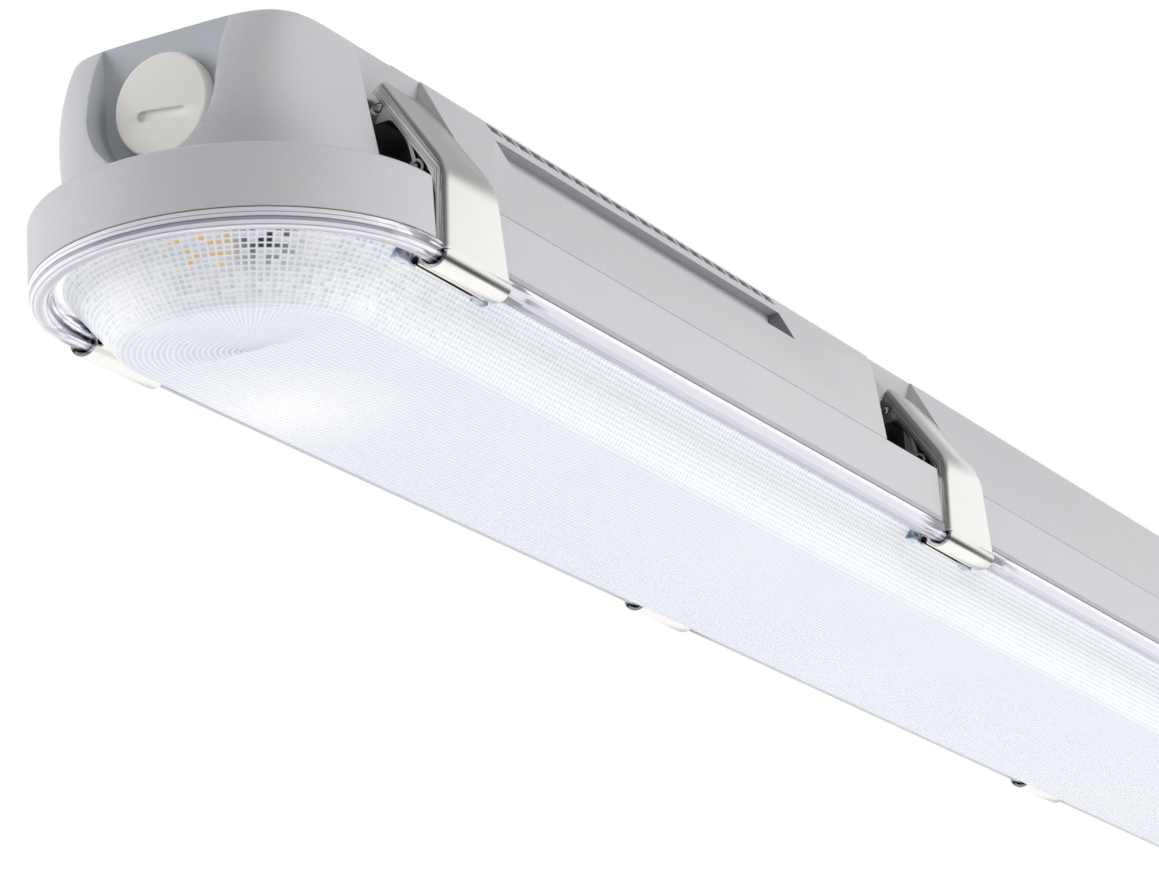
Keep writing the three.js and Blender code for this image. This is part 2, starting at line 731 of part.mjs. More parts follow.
// Blanking plug: domed head with a coin slot, a groove for the ring, and the shank
function blankingPlug() {
  const back = -entryFaceX - fitGap;
  const front = back - plugHeadHeight;
  const grooveBack = back - ringHeight - fitGap;
  const grooveOuter = ringOuterRadius + fitGap;
  const grooveInner = ringInnerRadius - fitGap;
  const shankEnd = back + plugShank;
  const profile = [
    [0, front], [plugHeadRadius - plugEdge, front], [plugHeadRadius, front + plugEdge], [plugHeadRadius, back],
    [grooveOuter, back], [grooveOuter, grooveBack], [grooveInner, grooveBack], [grooveInner, back],
    [threadRadius, back], [threadRadius, shankEnd], [0, shankEnd],
  ];
  const body = latheAlongX(profile, entrySegments, entryZ);
  const half = coinSlotLength / 2;
  const slot = alongX([
    ...arc(half, entryZ, coinSlotWidth / 2, -quarterTurn, quarterTurn, knuckleSegments / 2),
    ...arc(-half, entryZ, coinSlotWidth / 2, quarterTurn, quarterTurn + halfTurn, knuckleSegments / 2),
  ], front - overrun, front + coinSlotDepth);
  return body.subtract(slot);
}

function plugRing() {
  const back = -entryFaceX - fitGap;
  return alongX(circle(0, entryZ, ringOuterRadius, entrySegments), back - ringHeight, back)
    .subtract(alongX(circle(0, entryZ, ringInnerRadius, entrySegments), back - overrun, back + overrun));
}

// Cable gland: flanged body, rubber seal and domed nut
const glandFaceX = entryFaceX + fitGap;
const glandCollarX = glandFaceX + glandFlange;
const glandSealRadius = glandBore - fitGap;

function glandBody() {
  const flange = alongX(hexagon(0, entryZ, glandFlangeAcross), glandFaceX, glandCollarX);
  const shank = entryCylinder(1, threadRadius, glandFaceX - plugShank, glandFaceX + glandFlange / 2);
  const collar = entryCylinder(1, glandCollarRadius, glandFaceX, glandCollarX + glandCollar);
  const bore = entryCylinder(1, glandBore, glandFaceX - rimHalf, glandFaceX + rimHalf);
  return union([flange, shank, collar]).subtract(bore);
}

function glandSeal() {
  const start = glandCollarX;
  return entryCylinder(1, glandSealRadius, start, glandCollarX + glandCollar)
    .subtract(entryCylinder(1, glandSealBore, start - overrun, glandCollarX + rimHalf));
}

function glandNut() {
  const back = glandCollarX + runningGap;
  const shoulder = back + glandNutLength;
  const tip = shoulder + glandDome;
  const hex = alongX(hexagon(0, entryZ, glandNutAcross), back, shoulder);
  const across = glandNutAcross / 2;
  const foot = shoulder - glandDome / 2;
  const profile = [
    [0, foot], [across, foot], [across, shoulder], [glandDomeMiddleRadius, tip - glandDomeMiddleDrop],
    [glandDomeRadius, tip], [0, tip],
  ];
  const dome = latheAlongX(profile, entrySegments, entryZ);
  const thread = entryCylinder(1, glandCollarRadius + runningGap, back - overrun, back + glandCollar);
  const mouth = entryCylinder(1, glandMouth, back, tip + overrun);
  return cut(union([hex, dome]), [thread, mouth]);
}

// White tray: a folded sheet with upturned edges and screw holes
function gearTray() {
  const half = trayHalfWidth;
  const edgeTopZ = trayTopZ + trayEdge;
  const bottomZ = trayTopZ - traySheet;
  const section = [
    [-half, edgeTopZ], [-half, bottomZ], [half, bottomZ], [half, edgeTopZ], [half - traySheet, edgeTopZ],
    [half - traySheet, trayTopZ], [traySheet - half, trayTopZ], [traySheet - half, edgeTopZ],
  ];
  const end = trayHalfLength;
  const cornerX = end - trayCorner;
  const cornerY = half - trayCorner;
  const plan = [
    [-cornerX, -half], [cornerX, -half], [end, -cornerY], [end, cornerY],
    [cornerX, half], [-cornerX, half], [-end, cornerY], [-end, -cornerY],
  ];
  const body = alongX(section, -end, end).intersect(alongZ(plan, bottomZ - overrun, edgeTopZ + overrun));
  const holes = trayPostXs.map((x) => alongZ(circle(x, 0, trayPostBore, knuckleSegments), bottomZ - overrun,
    trayTopZ + overrun));
  return cut(body, holes);
}

function trayScrew(x) {
  const headTopZ = trayTopZ - traySheet - fitGap;
  const headZ = headTopZ - screwHeadHeight;
  const shank = alongZ(circle(x, 0, trayPostBore - fitGap, knuckleSegments),
    headTopZ - screwHeadHeight / 2, headTopZ + screwLength);
  return shank.add(alongZ(circle(x, 0, screwHeadRadius, knuckleSegments), headZ, headTopZ));
}

// LED board in one of the two rows beside the tray screws, with its lamps
const boardCentreY = trayPostRadius + boardWidth / 2;

function ledBoard(index) {
  const row = index % boardRows;
  const step = (index - row) / boardRows;
  const centre = (step - (boardsPerRow - 1) / 2) * (boardLength + boardGap);
  const side = sides[row];
  const topZ = trayTopZ - traySheet - fitGap;
  const bottomZ = topZ - boardThickness;
  const y = side * boardCentreY;
  const reach = boardLength / 2;
  const board = block(centre - reach, centre + reach, y - boardWidth / 2, y + boardWidth / 2, bottomZ, topZ);
  const ledPitch = boardLength / ledCount;
  const leds = Array.from({ length: ledCount }, (_, i) => {
    const x = centre + (i - (ledCount - 1) / 2) * ledPitch;
    return block(x - ledSide / 2, x + ledSide / 2, y - ledSide / 2, y + ledSide / 2,
      bottomZ - ledHeight, bottomZ + boardThickness / 2);
  });
  return union([board, ...leds]);
}

// Driver in its chamfered case, with an ear at each end
function driver() {
  const bottomZ = trayTopZ + fitGap;
  const topZ = bottomZ + driverHeight;
  const half = driverWidth / 2;
  const shoulderZ = topZ - driverChamfer;
  const topHalfWidth = half - driverChamfer;
  const section = [
    [-half, bottomZ], [half, bottomZ], [half, shoulderZ],
    [topHalfWidth, topZ], [-topHalfWidth, topZ], [-half, shoulderZ],
  ];
  const centre = lastTrayPostX / 2;
  const start = centre - driverLength / 2;
  const end = centre + driverLength / 2;
  return union([
    alongX(section, start + driverEar, end - driverEar),
    block(start, end, -half / 2, half / 2, bottomZ, bottomZ + driverEarHeight),
  ]);
}

// Terminal block with a row of wire entries
function terminalBlock() {
  const bottomZ = trayTopZ + fitGap;
  const centre = lastTrayPostX - blockFromPost;
  const half = blockWidth / 2;
  const topZ = bottomZ + blockHeight;
  const body = block(centre - blockLength / 2, centre + blockLength / 2, -half, half, bottomZ, topZ);
  const pitch = blockLength / blockWays;
  const holes = Array.from({ length: blockWays }, (_, i) => {
    const x = centre + (i - (blockWays - 1) / 2) * pitch;
    const hole = circle(x, (bottomZ + topZ) / 2, blockHole, knuckleSegments / 2);
    return alongY(hole, half - blockHoleDepth, half + overrun);
  });
  return cut(body, holes);
}

const group = new THREE.Group();

function place(parent, name, body, material) {
  const mesh = new THREE.Mesh(geometryOf(body), material);
  mesh.name = name;
  parent.add(mesh);
}

place(group, "housing", housing(), housingPlastic);
place(group, "diffuser", diffuser(), clearPlastic);
place(group, "gasket", gasket(), sealFoam);
place(group, "gear_tray", gearTray(), whiteSteel);
trayPostXs.forEach((x, i) => place(group, `tray_screw_${i + 1}`, trayScrew(x), zincSteel));
for (let i = 0; i < boardRows * boardsPerRow; i += 1) {
  place(group, `led_board_${i + 1}`, ledBoard(i), boardWhite);
}
place(group, "driver", driver(), driverPlastic);
place(group, "terminal_block", terminalBlock(), blockPlastic);
place(group, "blanking_plug", blankingPlug(), plugPlastic);
place(group, "plug_ring", plugRing(), rubber);
place(group, "gland_body", glandBody(), glandPlastic);
place(group, "gland_seal", glandSeal(), rubber);
place(group, "gland_nut", glandNut(), glandPlastic);

// The latches are alike: each is built once facing +Y and turned to its side
const latchPieces = {
  lever: { body: latchLever(), material: stainless },
  link: { body: latchLink(), material: stainless },
  lever_pin: { body: barAt(leverPin, pinRadius, leverTopHalfWidth + pinEndPlay), material: stainless },
  housing_pin: { body: barAt(housingPin, pinRadius, linkHalfWidth + pinEndPlay), material: stainless },
};
const sideTurns = { front: Math.PI, back: 0 };

for (const [sideName, turn] of Object.entries(sideTurns)) {
  latchXs.forEach((x, i) => {
    const station = new THREE.Group();
    station.position.set(x, 0, 0);
    station.rotation.z = turn;
    group.add(station);
    for (const [piece, { body, material }] of Object.entries(latchPieces)) {
      place(station, `${sideName}_latch_${i + 1}_${piece}`, body, material);
    }
  });
}

export default group;
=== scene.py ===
import math

import bpy
from mathutils import Matrix, Vector

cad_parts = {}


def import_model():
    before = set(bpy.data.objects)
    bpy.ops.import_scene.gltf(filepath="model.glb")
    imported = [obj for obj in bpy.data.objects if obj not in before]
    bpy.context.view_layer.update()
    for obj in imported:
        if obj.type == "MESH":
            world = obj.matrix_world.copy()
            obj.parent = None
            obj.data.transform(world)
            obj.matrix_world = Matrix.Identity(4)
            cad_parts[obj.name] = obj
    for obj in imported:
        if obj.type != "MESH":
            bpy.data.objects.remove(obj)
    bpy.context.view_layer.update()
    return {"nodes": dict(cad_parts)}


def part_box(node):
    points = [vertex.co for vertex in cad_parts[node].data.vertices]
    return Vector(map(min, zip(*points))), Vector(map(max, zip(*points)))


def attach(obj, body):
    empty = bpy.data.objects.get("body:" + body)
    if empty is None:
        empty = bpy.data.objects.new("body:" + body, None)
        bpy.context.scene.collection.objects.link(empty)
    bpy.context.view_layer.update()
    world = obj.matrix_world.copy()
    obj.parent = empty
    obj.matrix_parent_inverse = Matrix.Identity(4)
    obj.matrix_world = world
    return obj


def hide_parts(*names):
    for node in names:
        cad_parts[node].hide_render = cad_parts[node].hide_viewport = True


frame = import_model()

# Millimetres in the sizes below become metres in the meshes
MM = 0.001

# Sizes that come from the frame
housing_low, housing_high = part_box("housing")
rim_half = housing_high.y / MM
overall_half = housing_high.x / MM
skirt_bottom_z = housing_low.z / MM
lens_bottom_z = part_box("diffuser")[0].z / MM
end_centre = overall_half - rim_half
far_out = 2 * rim_half

# Clearances, and the overrun of every cutter
fit_gap = 0.3
running_gap = 0.3
overrun = 4

# Housing
top_half = 31.5
ledge_z = -37.2
wall = 2.5
skirt_draft = 0.2
skirt_edge_radius = 1.2
neck_half_width = 31.3
neck_draft = 0.175
neck_top_reach = 30.3
neck_foot_reach = 40.3
neck_reach_power = 2.6
neck_top_squareness = 5
neck_foot_squareness = 2.3
neck_steps = 14
neck_edge = 1.2
neck_fillet = 3.5
latch_recess = 2.6
rim_wall = 2.6
channel_width = 3.6
channel_depth = 8.8
channel_inner_wall = 2.4
inner_lip_rise = 1.8
rim_floor_thickness = 2.5
channel_outer_r = rim_half - latch_recess - rim_wall
channel_inner_r = channel_outer_r - channel_width
cavity_rim_r = channel_inner_r - channel_inner_wall
channel_roof_z = skirt_bottom_z + channel_depth
inner_lip_z = skirt_bottom_z + inner_lip_rise
parting_groove = 0.22
parting_groove_height = 0.3

# Diffuser
lens_wall = 1.8
web_thickness = 1.9
lens_bottom_half = 29.5
lens_corner = 2.4
nose_radius = 2.6
nose_drop = 1.6
groove_width = 2.5
groove_corner = 1.4
tongue_width = 1.8
rim_top_z = skirt_bottom_z - fit_gap
web_top_z = inner_lip_z - fit_gap
groove_roof_z = web_top_z - web_thickness
nose_centre_r = rim_half - nose_radius
nose_centre_z = rim_top_z - nose_drop
groove_outer_r = rim_half - nose_radius - nose_radius
groove_inner_r = groove_outer_r - groove_width
lens_slope = (groove_inner_r - lens_bottom_half) / (groove_roof_z - lens_bottom_z)
hook_lug_length = 5.6
hook_lug_depth = 3.2
hook_lug_inset = 0.6
seal_height = 2.8
tongue_top_z = channel_roof_z - fit_gap - seal_height - fit_gap
prism_pitch = 1.7
corner_prism_pitch = 1.5
weld_gap = 0.001
prisms_per_end = 66
prism_rows_side = 13
prism_rows_bottom = 20

# Latches
latches_per_side = 5
latch_to_end_centre = 18
pocket_half_width = 17.3
pocket_inner_half = 12.8
recess_inner_half = 15.2
pocket_flare = 33
pocket_flare_top_depth = 3
lever_pin = (33, -15)
housing_pin = (40.5, -30.5)
lever_sheet = 0.9
hook_radius = 4
hook_wrap = 162
lever_top = (34.9, -8.5)
lever_bend = (50.9, -32.5)
lever_bend_radius = 16
lever_top_half = 10.9
lever_bend_half = 12.1
lever_foot_half = 14.8
lever_fold_radius = 1.5
flange_end_radius = 3.2
flange_lines = (1.7, 2.2, 3.1, 3.6)
flange_top_depth = 8.39
flange_corner_depth = 5.19
flange_mid_depth = 4.3
flange_neck_run = 3.5
flange_foot_depth = 3
flange_foot_from = 0.35
flange_foot_to = 0.86
flange_least = 0.05
bead_radius = 1.55
bead_bore_radius = 0.95
bead_bore_reach = 1.08 * bead_bore_radius
bead_turn = (-56, 276)
bead_inset = 4.6
bead_drop = 1.2
bead_centre = (nose_centre_r - bead_inset, nose_centre_z - bead_drop)
pin_radius = 1
pin_edge = 0.3
knuckle_radius = 2.1
knuckle_bore = pin_radius + running_gap
link_sheet = 1
link_bow = 1.6
link_half_width = 8
post_half_width = 5
post_radius = 2.3
pin_end_play = 0.5
pocket_clearance = 1.8
pocket_top_depth = 0.5
pocket_back_y = lever_pin[0] - flange_end_radius - pocket_clearance
pocket_elbow_z = lever_pin[1] + flange_end_radius + pocket_clearance
cavity_half_width = pocket_back_y - wall

last_latch_x = end_centre - latch_to_end_centre
latch_pitch = 2 * last_latch_x / (latches_per_side - 1)
latch_xs = [i * latch_pitch - last_latch_x for i in range(latches_per_side)]
SIDES = (-1, 1)

# Bracket slots and toothed rails
slot_length = 155
slot_to_latch = 42.7
slot_centre_x = last_latch_x - slot_to_latch - slot_length / 2
slot_ceiling_z = -5.7
slot_floor_z = -14.2
slot_back_y = 30.9
notch_pitch = 7.1
notch_length = 5.8
notch_top_z = -0.7
notch_floor_z = -2.7
notch_cut = 2.2
notches_per_rail = 22
notch_lean = 1.5
slot_end_slack = 1

# Entries, plug and gland
entry_face_x = end_centre + 30
entry_half_width = 17.3
entry_z = -19
entry_bore_radius = 10.2
entry_boss_radius = 13.5
entry_boss_length = 8
plug_head_radius = 12.6
plug_head_height = 3.3
plug_edge = 0.9
plug_shank = 11
ring_height = 1.5
ring_inner = 10.5
ring_outer = 11.8
coin_slot_half = 5.2
coin_slot_radius = 1.3
coin_slot_drop = 2.4
coin_slot_turn = math.radians(6)
coin_slot_depth = 1

# Smoothness of the curves
end_segments = 56
round_segments = 48
small_segments = 24
slot_segments = 12
fillet_segments = 8
plug_segments = 72
nose_segments = 16
straight_steps = 24
straight_stations = 48
lens_corner_steps = 6
fold_steps = 4
link_steps = 16

# How squarely a face has to look along an axis to be counted to it
facing = 0.9
facing_roughly = 0.7
facing_barely = 0.5

# Looks: levels in millimetres, and shares of a noise, a prism or the rim's height
noise_low = 0.3
noise_high = 0.7
clear_ior = 1.49
corner_shade_reach = 0.014
skirt_band_height = 1.4
skirt_band_edge = 0.2
skirt_band_fade = 10
ridge_edge = (0.06, 0.24)
crossing_share = 0.7
milk_height = 0.4
band_wave = 0.12
highlight_grid_share = 0.04
streak_reach = (22, 36)
flange_line_edge = (0.05, 0.2)
hook_line_fall = 0.7
hook_line_share = 0.92
hook_line_edge = (0.1, 0.36)
lamp_face_depth = 0.3

# Colours in sRGB from 0 to 255; a pair is mixed by a noise or a mask
housing_colours = ((203, 202, 206), (209, 208, 211))
corner_shade_colour = (34, 34, 38)
skirt_band_colour = (164, 168, 178)
recess_reflection_colours = ((182, 187, 192), (192, 197, 201))
pocket_shade_colours = ((34, 34, 37), (46, 46, 50))
slot_back_light_colours = ((215, 218, 226), (220, 223, 230))
slot_end_shade_colours = ((122, 122, 127), (132, 132, 136))
plug_colours = ((232, 230, 222), (238, 237, 230))
gland_colours = ((186, 190, 193), (196, 199, 201))
terminal_colours = ((214, 213, 204), (224, 222, 214))
driver_colours = ((228, 229, 231), (236, 237, 238))
enamel_colours = ((240, 241, 239), (247, 247, 245))
rubber_colours = ((30, 30, 32), (48, 48, 50))
board_colours = ((236, 236, 230), (246, 246, 242))
phosphor_colour = (246, 190, 84)
lever_colours = ((235, 233, 230), (242, 240, 237))
hook_reflection_colour = (58, 60, 58)
pressed_colour = (150, 148, 142)
wire_colours = ((168, 168, 172), (214, 214, 216))
roll_shadow_colours = ((26, 26, 28), (34, 34, 36))
prism_colours = ((216, 223, 235), (250, 252, 255))
straight_prism_colour = (228, 233, 242)
milk_colours = ((213, 217, 227), (223, 227, 235))
ridge_colours = ((243, 245, 249), (253, 254, 255))
lug_colours = ((228, 238, 252), (120, 138, 176))
pocket_shade_streak_colour = (30, 32, 58)
white = (255, 255, 255)
floor_colours = ((233, 233, 233), (239, 239, 239))

# Lowest and highest roughness of the plain finishes
matt_rough = (0.45, 0.56)
satin_rough = (0.4, 0.51)
plug_rough = (0.42, 0.55)
recess_rough = (0.42, 0.5)
pocket_rough = (0.35, 0.46)
driver_rough = (0.37, 0.48)
enamel_rough = (0.3, 0.42)
shadow_rough = (0.55, 0.66)

# Patches seen through the prisms: centre from the end's arc and the lens bottom, radius, softness
dark_patch = ((31.8, -24.9, 14.4), 8, 4)
amber_patch = ((37.1, -11.2, 11.5), 7, 2)
# Each with the odds from which a cell shows it, and its colour
engine_patches = ((dark_patch, 0.45, (52, 56, 76)), (amber_patch, 0.7, (246, 206, 150)))
# Painted highlights of the studio lamps on the lens, given in the same way
painted_highlights = (
    ((33.9, 11.1, 7.6), 7, 8),
    ((22.4, -32.8, 12.7), 2.5, 3),
    ((-1.3, -40, 12.8), 2.5, 3),
    ((-40, 17, 0), 14, 20),
)

# Painted lines of bent light in the clear rim, from its nose up: share of the height and colour
side_rim_bands = (
    (0.0, (146, 147, 166)), (0.04, (158, 158, 178)), (0.07, (208, 206, 221)), (0.1, (156, 156, 176)),
    (0.14, (208, 205, 220)), (0.18, (170, 168, 190)), (0.23, (218, 213, 228)), (0.34, (213, 208, 219)),
    (0.62, (217, 213, 223)), (0.76, (238, 235, 242)), (0.9, (254, 253, 255)), (1.0, (228, 229, 236)),
)
end_rim_bands = (
    (0.0, (160, 156, 172)), (0.04, (206, 202, 214)), (0.08, (240, 238, 246)), (0.14, (154, 150, 168)),
    (0.18, (234, 233, 242)), (0.3, (246, 245, 250)), (0.34, (166, 166, 184)), (0.44, (178, 174, 190)),
    (0.5, (108, 102, 118)), (0.55, (246, 244, 250)), (0.7, (253, 253, 255)), (0.74, (142, 144, 158)),
    (0.79, (250, 250, 253)), (1.0, (242, 242, 246)),
)


def arc(a, b, radius, start, end, segments):
    """Points on a circular arc between two angles in degrees."""
    points = []
    for i in range(segments + 1):
        turn = math.radians(start + (end - start) * i / segments)
        points.append((a + radius * math.cos(turn), b + radius * math.sin(turn)))
    return points


def circle(a, b, radius, segments):
    """Points round a full circle."""
    return arc(a, b, radius, 0, 360, segments)[:-1]


def rectangle(a0, a1, b0, b1):
    """Four corners, counter-clockwise."""
    return [(a0, b0), (a1, b0), (a1, b1), (a0, b1)]


def stadium(radius):
    """Plan outline with straight sides and round ends."""
    right = arc(end_centre, 0, radius, -90, 90, end_segments)
    return right + [(-x, -y) for x, y in right]


def square_ended(half, reach, squareness):
    """Plan outline whose ends are superellipses."""
    power = 2 / squareness
    right = []
    for point in arc(0, 0, 1, -90, 90, end_segments):
        along, across = (math.copysign(abs(value) ** power, value) for value in point)
        right.append((end_centre + reach * along, half * across))
    return right + [(-x, -y) for x, y in right]


def side_half(z):
    """Half width over the sloping upper sides at a level."""
    return top_half - z * (rim_half - top_half) / -ledge_z


def linked(name, data):
    """New object in the scene."""
    obj = bpy.data.objects.new(name, data)
    bpy.context.scene.collection.objects.link(obj)
    return obj


def new_object(name, points, faces):
    """Object from points in millimetres."""
    mesh = bpy.data.meshes.new(name)
    mesh.from_pydata([(x * MM, y * MM, z * MM) for x, y, z in points], [], faces)
    mesh.update()
    return linked(name, mesh)


def side_faces(count, rows, closed=False):
    """Quads between rows of points, each row closed on itself."""
    faces = []
    for row in range(rows if closed else rows - 1):
        low = row * count
        high = (row + 1) % rows * count
        for i in range(count):
            j = (i + 1) % count
            faces.append((low + i, low + j, high + j, high + i))
    return faces


def prism(name, outline, start, end, axis="x"):
    """Closed prism of an outline: (y, z) along x, (x, z) along y, or (x, y) along z."""
    count = len(outline)
    area = sum(
        outline[i][0] * outline[(i + 1) % count][1] - outline[(i + 1) % count][0] * outline[i][1]
        for i in range(count)
    )
    if area < 0:
        outline = outline[::-1]
    if axis == "x":
        points = [(x, a, b) for x in (start, end) for a, b in outline]
    elif axis == "y":
        points = [(a, y, b) for y in (end, start) for a, b in outline]
    else:
        points = [(a, b, z) for z in (start, end) for a, b in outline]
    faces = [tuple(range(count))[::-1], tuple(range(count, 2 * count)), *side_faces(count, 2)]
    return new_object(name, points, faces)


def loft(name, levels):
    """Closed solid through (outline, z) levels, from the bottom up."""
    count = len(levels[0][0])
    points = [(x, y, z) for plan, z in levels for x, y in plan]
    top = len(points) - count
    faces = [tuple(range(count))[::-1], *side_faces(count, len(levels)), tuple(range(top, top + count))]
    return new_object(name, points, faces)


def ring(name, section):
    """Section of (r, z) points, counter-clockwise, carried round the fixture."""
    points = [(x, y, z) for r, z in section for x, y in stadium(r)]
    rows = len(section)
    return new_object(name, points, side_faces(len(points) // rows, rows, closed=True))


def lathe_x(name, profile, z, segments=round_segments):
    """Round body about a line along x, from (radius, x) pairs that start and end on the line."""
    points = [(profile[0][1], 0, z)]
    inner = profile[1:-1]
    for radius, x in inner:
        points += [(x, a, b) for a, b in circle(0, z, radius, segments)]
    points.append((profile[-1][1], 0, z))
    last = len(points) - 1
    faces = []
    for i in range(segments):
        n = (i + 1) % segments
        faces.append((0, 1 + n, 1 + i))
        for j in range(len(inner) - 1):
            a = 1 + j * segments
            b = a + segments
            faces.append((a + i, a + n, b + n, b + i))
        a = 1 + (len(inner) - 1) * segments
        faces.append((a + i, a + n, last))
    obj = new_object(name, points, faces)
    if profile[-1][1] < profile[0][1]:
        obj.data.flip_normals()
    return obj


def joined(name, objects):
    """One object from several that don't touch."""
    points = []
    faces = []
    for obj in objects:
        start = len(points)
        points += [tuple(v.co / MM) for v in obj.data.vertices]
        faces += [tuple(start + i for i in p.vertices) for p in obj.data.polygons]
    for obj in objects:
        remove(obj)
    return new_object(name, points, faces)


def remove(obj):
    """Takes an object and its mesh out of the file."""
    mesh = obj.data
    bpy.data.objects.remove(obj)
    bpy.data.meshes.remove(mesh)


def settle(obj):
    """Applies the modifiers of an object to its mesh."""
    bpy.context.view_layer.update()
    graph = bpy.context.evaluated_depsgraph_get()
    mesh = bpy.data.meshes.new_from_object(obj.evaluated_get(graph))
    obj.modifiers.clear()
    old = obj.data
    obj.data = mesh
    bpy.data.meshes.remove(old)
    return obj


def combine(obj, others, operation):
    """Boolean of an object with others, which are used up."""
    for other in others:
        step = obj.modifiers.new(operation.lower(), "BOOLEAN")
        step.operation = operation
        step.solver = "MANIFOLD"
        step.object = other
    settle(obj)
    obj.data.materials.clear()
    for other in others:
        remove(other)
    return obj


def bevelled(obj, width, angle, segments=2):
    """Rounds the edges sharper than an angle."""
    step = obj.modifiers.new("edges", "BEVEL")
    step.width = width * MM
    step.segments = segments
    step.limit_method = "ANGLE"
    step.angle_limit = math.radians(angle)
    return settle(obj)


def smooth(obj, angle):
    """Smooth shading, with edges over the angle kept sharp."""
    obj.data.shade_smooth()
    obj.data.set_sharp_from_angle(angle=math.radians(angle))
    return obj


def mirrored(outline, side):
    """Outline in (y, z) carried to one side."""
    return [(side * y, z) for y, z in outline]


def side_cut(name, outline, side, inner):
    """Cutter from an inner distance out past the side, with its outline in (x, z)."""
    return prism(name, outline, *sorted((side * inner, side * far_out)), axis="y")


def end_cut(name, end, outline, start, stop):
    """Prism along x at one end of the fixture, with its outline in (y, z)."""
    return prism(name, outline, *sorted((end * start, end * stop)))


# Materials


class Nodes:
    """Short names for the nodes of one tree."""

    def __init__(self, tree):
        self.tree = tree

    def node(self, kind, **settings):
        """New node with its settings."""
        made = self.tree.nodes.new(kind)
        for key, value in settings.items():
            setattr(made, key, value)
        return made

    def link(self, source, target):
        """Joins an output to an input."""
        self.tree.links.new(source, target)

    def feed(self, socket, value):
        """Links a socket to another one, or gives it a constant."""
        if isinstance(value, bpy.types.NodeSocket):
            self.link(value, socket)
        else:
            socket.default_value = value

    def axes(self, vector):
        """The three coordinates of a vector."""
        split = self.node("ShaderNodeSeparateXYZ")
        self.link(vector, split.inputs[0])
        return split.outputs

    def math(self, operation, *values):
        """Result of a sum on numbers or sockets."""
        made = self.node("ShaderNodeMath", operation=operation)
        for socket, value in zip(made.inputs, values):
            self.feed(socket, value)
        return made.outputs[0]

    def product(self, first, second):
        """Two values multiplied."""
        return self.math("MULTIPLY", first, second)

    def between(self, value, low, high, to_low=0.0, to_high=1.0):
        """Carries a value from one range to another, and holds it at the ends."""
        made = self.node("ShaderNodeMapRange")
        parts = {"Value": value, "From Min": low, "From Max": high, "To Min": to_low, "To Max": to_high}
        for key, part in parts.items():
            self.feed(made.inputs[key], part)
        return made.outputs["Result"]

    def mixed(self, share, first, second, mode="MIX"):
        """Two colours mixed; the node keeps its colour sockets at 6, 7 and 2."""
        made = self.node("ShaderNodeMix", data_type="RGBA", blend_type=mode)
        for index, value in ((0, share), (6, first), (7, second)):
            self.feed(made.inputs[index], value)
        return made.outputs[2]

    def ramp(self, value, stops):
        """Colour ramp of (position, colour) stops."""
        made = self.node("ShaderNodeValToRGB")
        self.link(value, made.inputs["Fac"])
        spare = list(made.color_ramp.elements)
        for at, colour in stops:
            stop = spare.pop(0) if spare else made.color_ramp.elements.new(at)
            stop.position = at
            stop.color = colour
        return made.outputs["Color"]


class Shader(Nodes):
    """A node material under construction, with a principled shader at its end."""

    def __init__(self, name, colour, roughness, metallic=0.0):
        self.material = bpy.data.materials.new(name)
        self.material.use_nodes = True
        super().__init__(self.material.node_tree)
        self.shader = self.tree.nodes["Principled BSDF"]
        self.give({"Base Color": colour, "Roughness": roughness, "Metallic": metallic})
        self.place = self.node("ShaderNodeTexCoord").outputs["Object"]

    def give(self, constants):
        """Constant values for sockets of the shader."""
        for name, value in constants.items():
            self.shader.inputs[name].default_value = value

    def colour(self, socket):
        """Feeds the base colour."""
        self.link(socket, self.shader.inputs["Base Color"])

    def roughness(self, socket):
        """Feeds the roughness."""
        self.link(socket, self.shader.inputs["Roughness"])

    def noise(self, scale, detail, stretch=None):
        """Noise in waves per metre, stretched along the axes where asked."""
        made = self.node("ShaderNodeTexNoise")
        made.inputs["Scale"].default_value = scale
        made.inputs["Detail"].default_value = detail
        place = self.place
        if stretch:
            mapping = self.node("ShaderNodeMapping")
            mapping.inputs["Scale"].default_value = stretch
            self.link(place, mapping.inputs["Vector"])
            place = mapping.outputs["Vector"]
        self.link(place, made.inputs["Vector"])
        return made.outputs["Fac"]

    def drift(self, noise, low, high):
        """Spreads the middle of a noise over a range of values."""
        return self.between(noise, noise_low, noise_high, low, high)

    def bump(self, height, strength, distance):
        """Feeds the normal from a height."""
        made = self.node("ShaderNodeBump")
        made.inputs["Strength"].default_value = strength
        made.inputs["Distance"].default_value = distance
        self.link(height, made.inputs["Height"])
        self.link(made.outputs["Normal"], self.shader.inputs["Normal"])

    def occlusion(self, distance):
        """One in the open, less in corners closer than a distance."""
        made = self.node("ShaderNodeAmbientOcclusion", samples=8)
        made.inputs["Distance"].default_value = distance
        return made.outputs["AO"]

    def near(self, centre, radius, soft):
        """One inside a ball, and nought past its soft edge; both ends of the fixture alike.

        The ball's centre is given from the middle of the end's arc, at the level of the lens bottom.
        """
        x, y, z = self.axes(self.place)
        folded = self.node("ShaderNodeCombineXYZ")
        for socket, value in zip(folded.inputs, (self.math("ABSOLUTE", x), y, z)):
            self.link(value, socket)
        gap = self.node("ShaderNodeVectorMath", operation="DISTANCE")
        self.link(folded.outputs[0], gap.inputs[0])
        gap.inputs[1].default_value = (Vector(centre) + Vector((end_centre, 0, lens_bottom_z))) * MM
        return self.between(gap.outputs["Value"], (radius - soft) * MM, (radius + soft) * MM, 1.0, 0.0)


def shade(red, green, blue):
    """Linear colour of an sRGB colour given from 0 to 255."""
    linear = []
    for value in (red, green, blue):
        part = value / 255
        linear.append(part / 12.92 if part <= 0.04045 else ((part + 0.055) / 1.055) ** 2.4)
    return (*linear, 1.0)


def shades(colours):
    """Linear colours of several sRGB ones."""
    return [shade(*colour) for colour in colours]


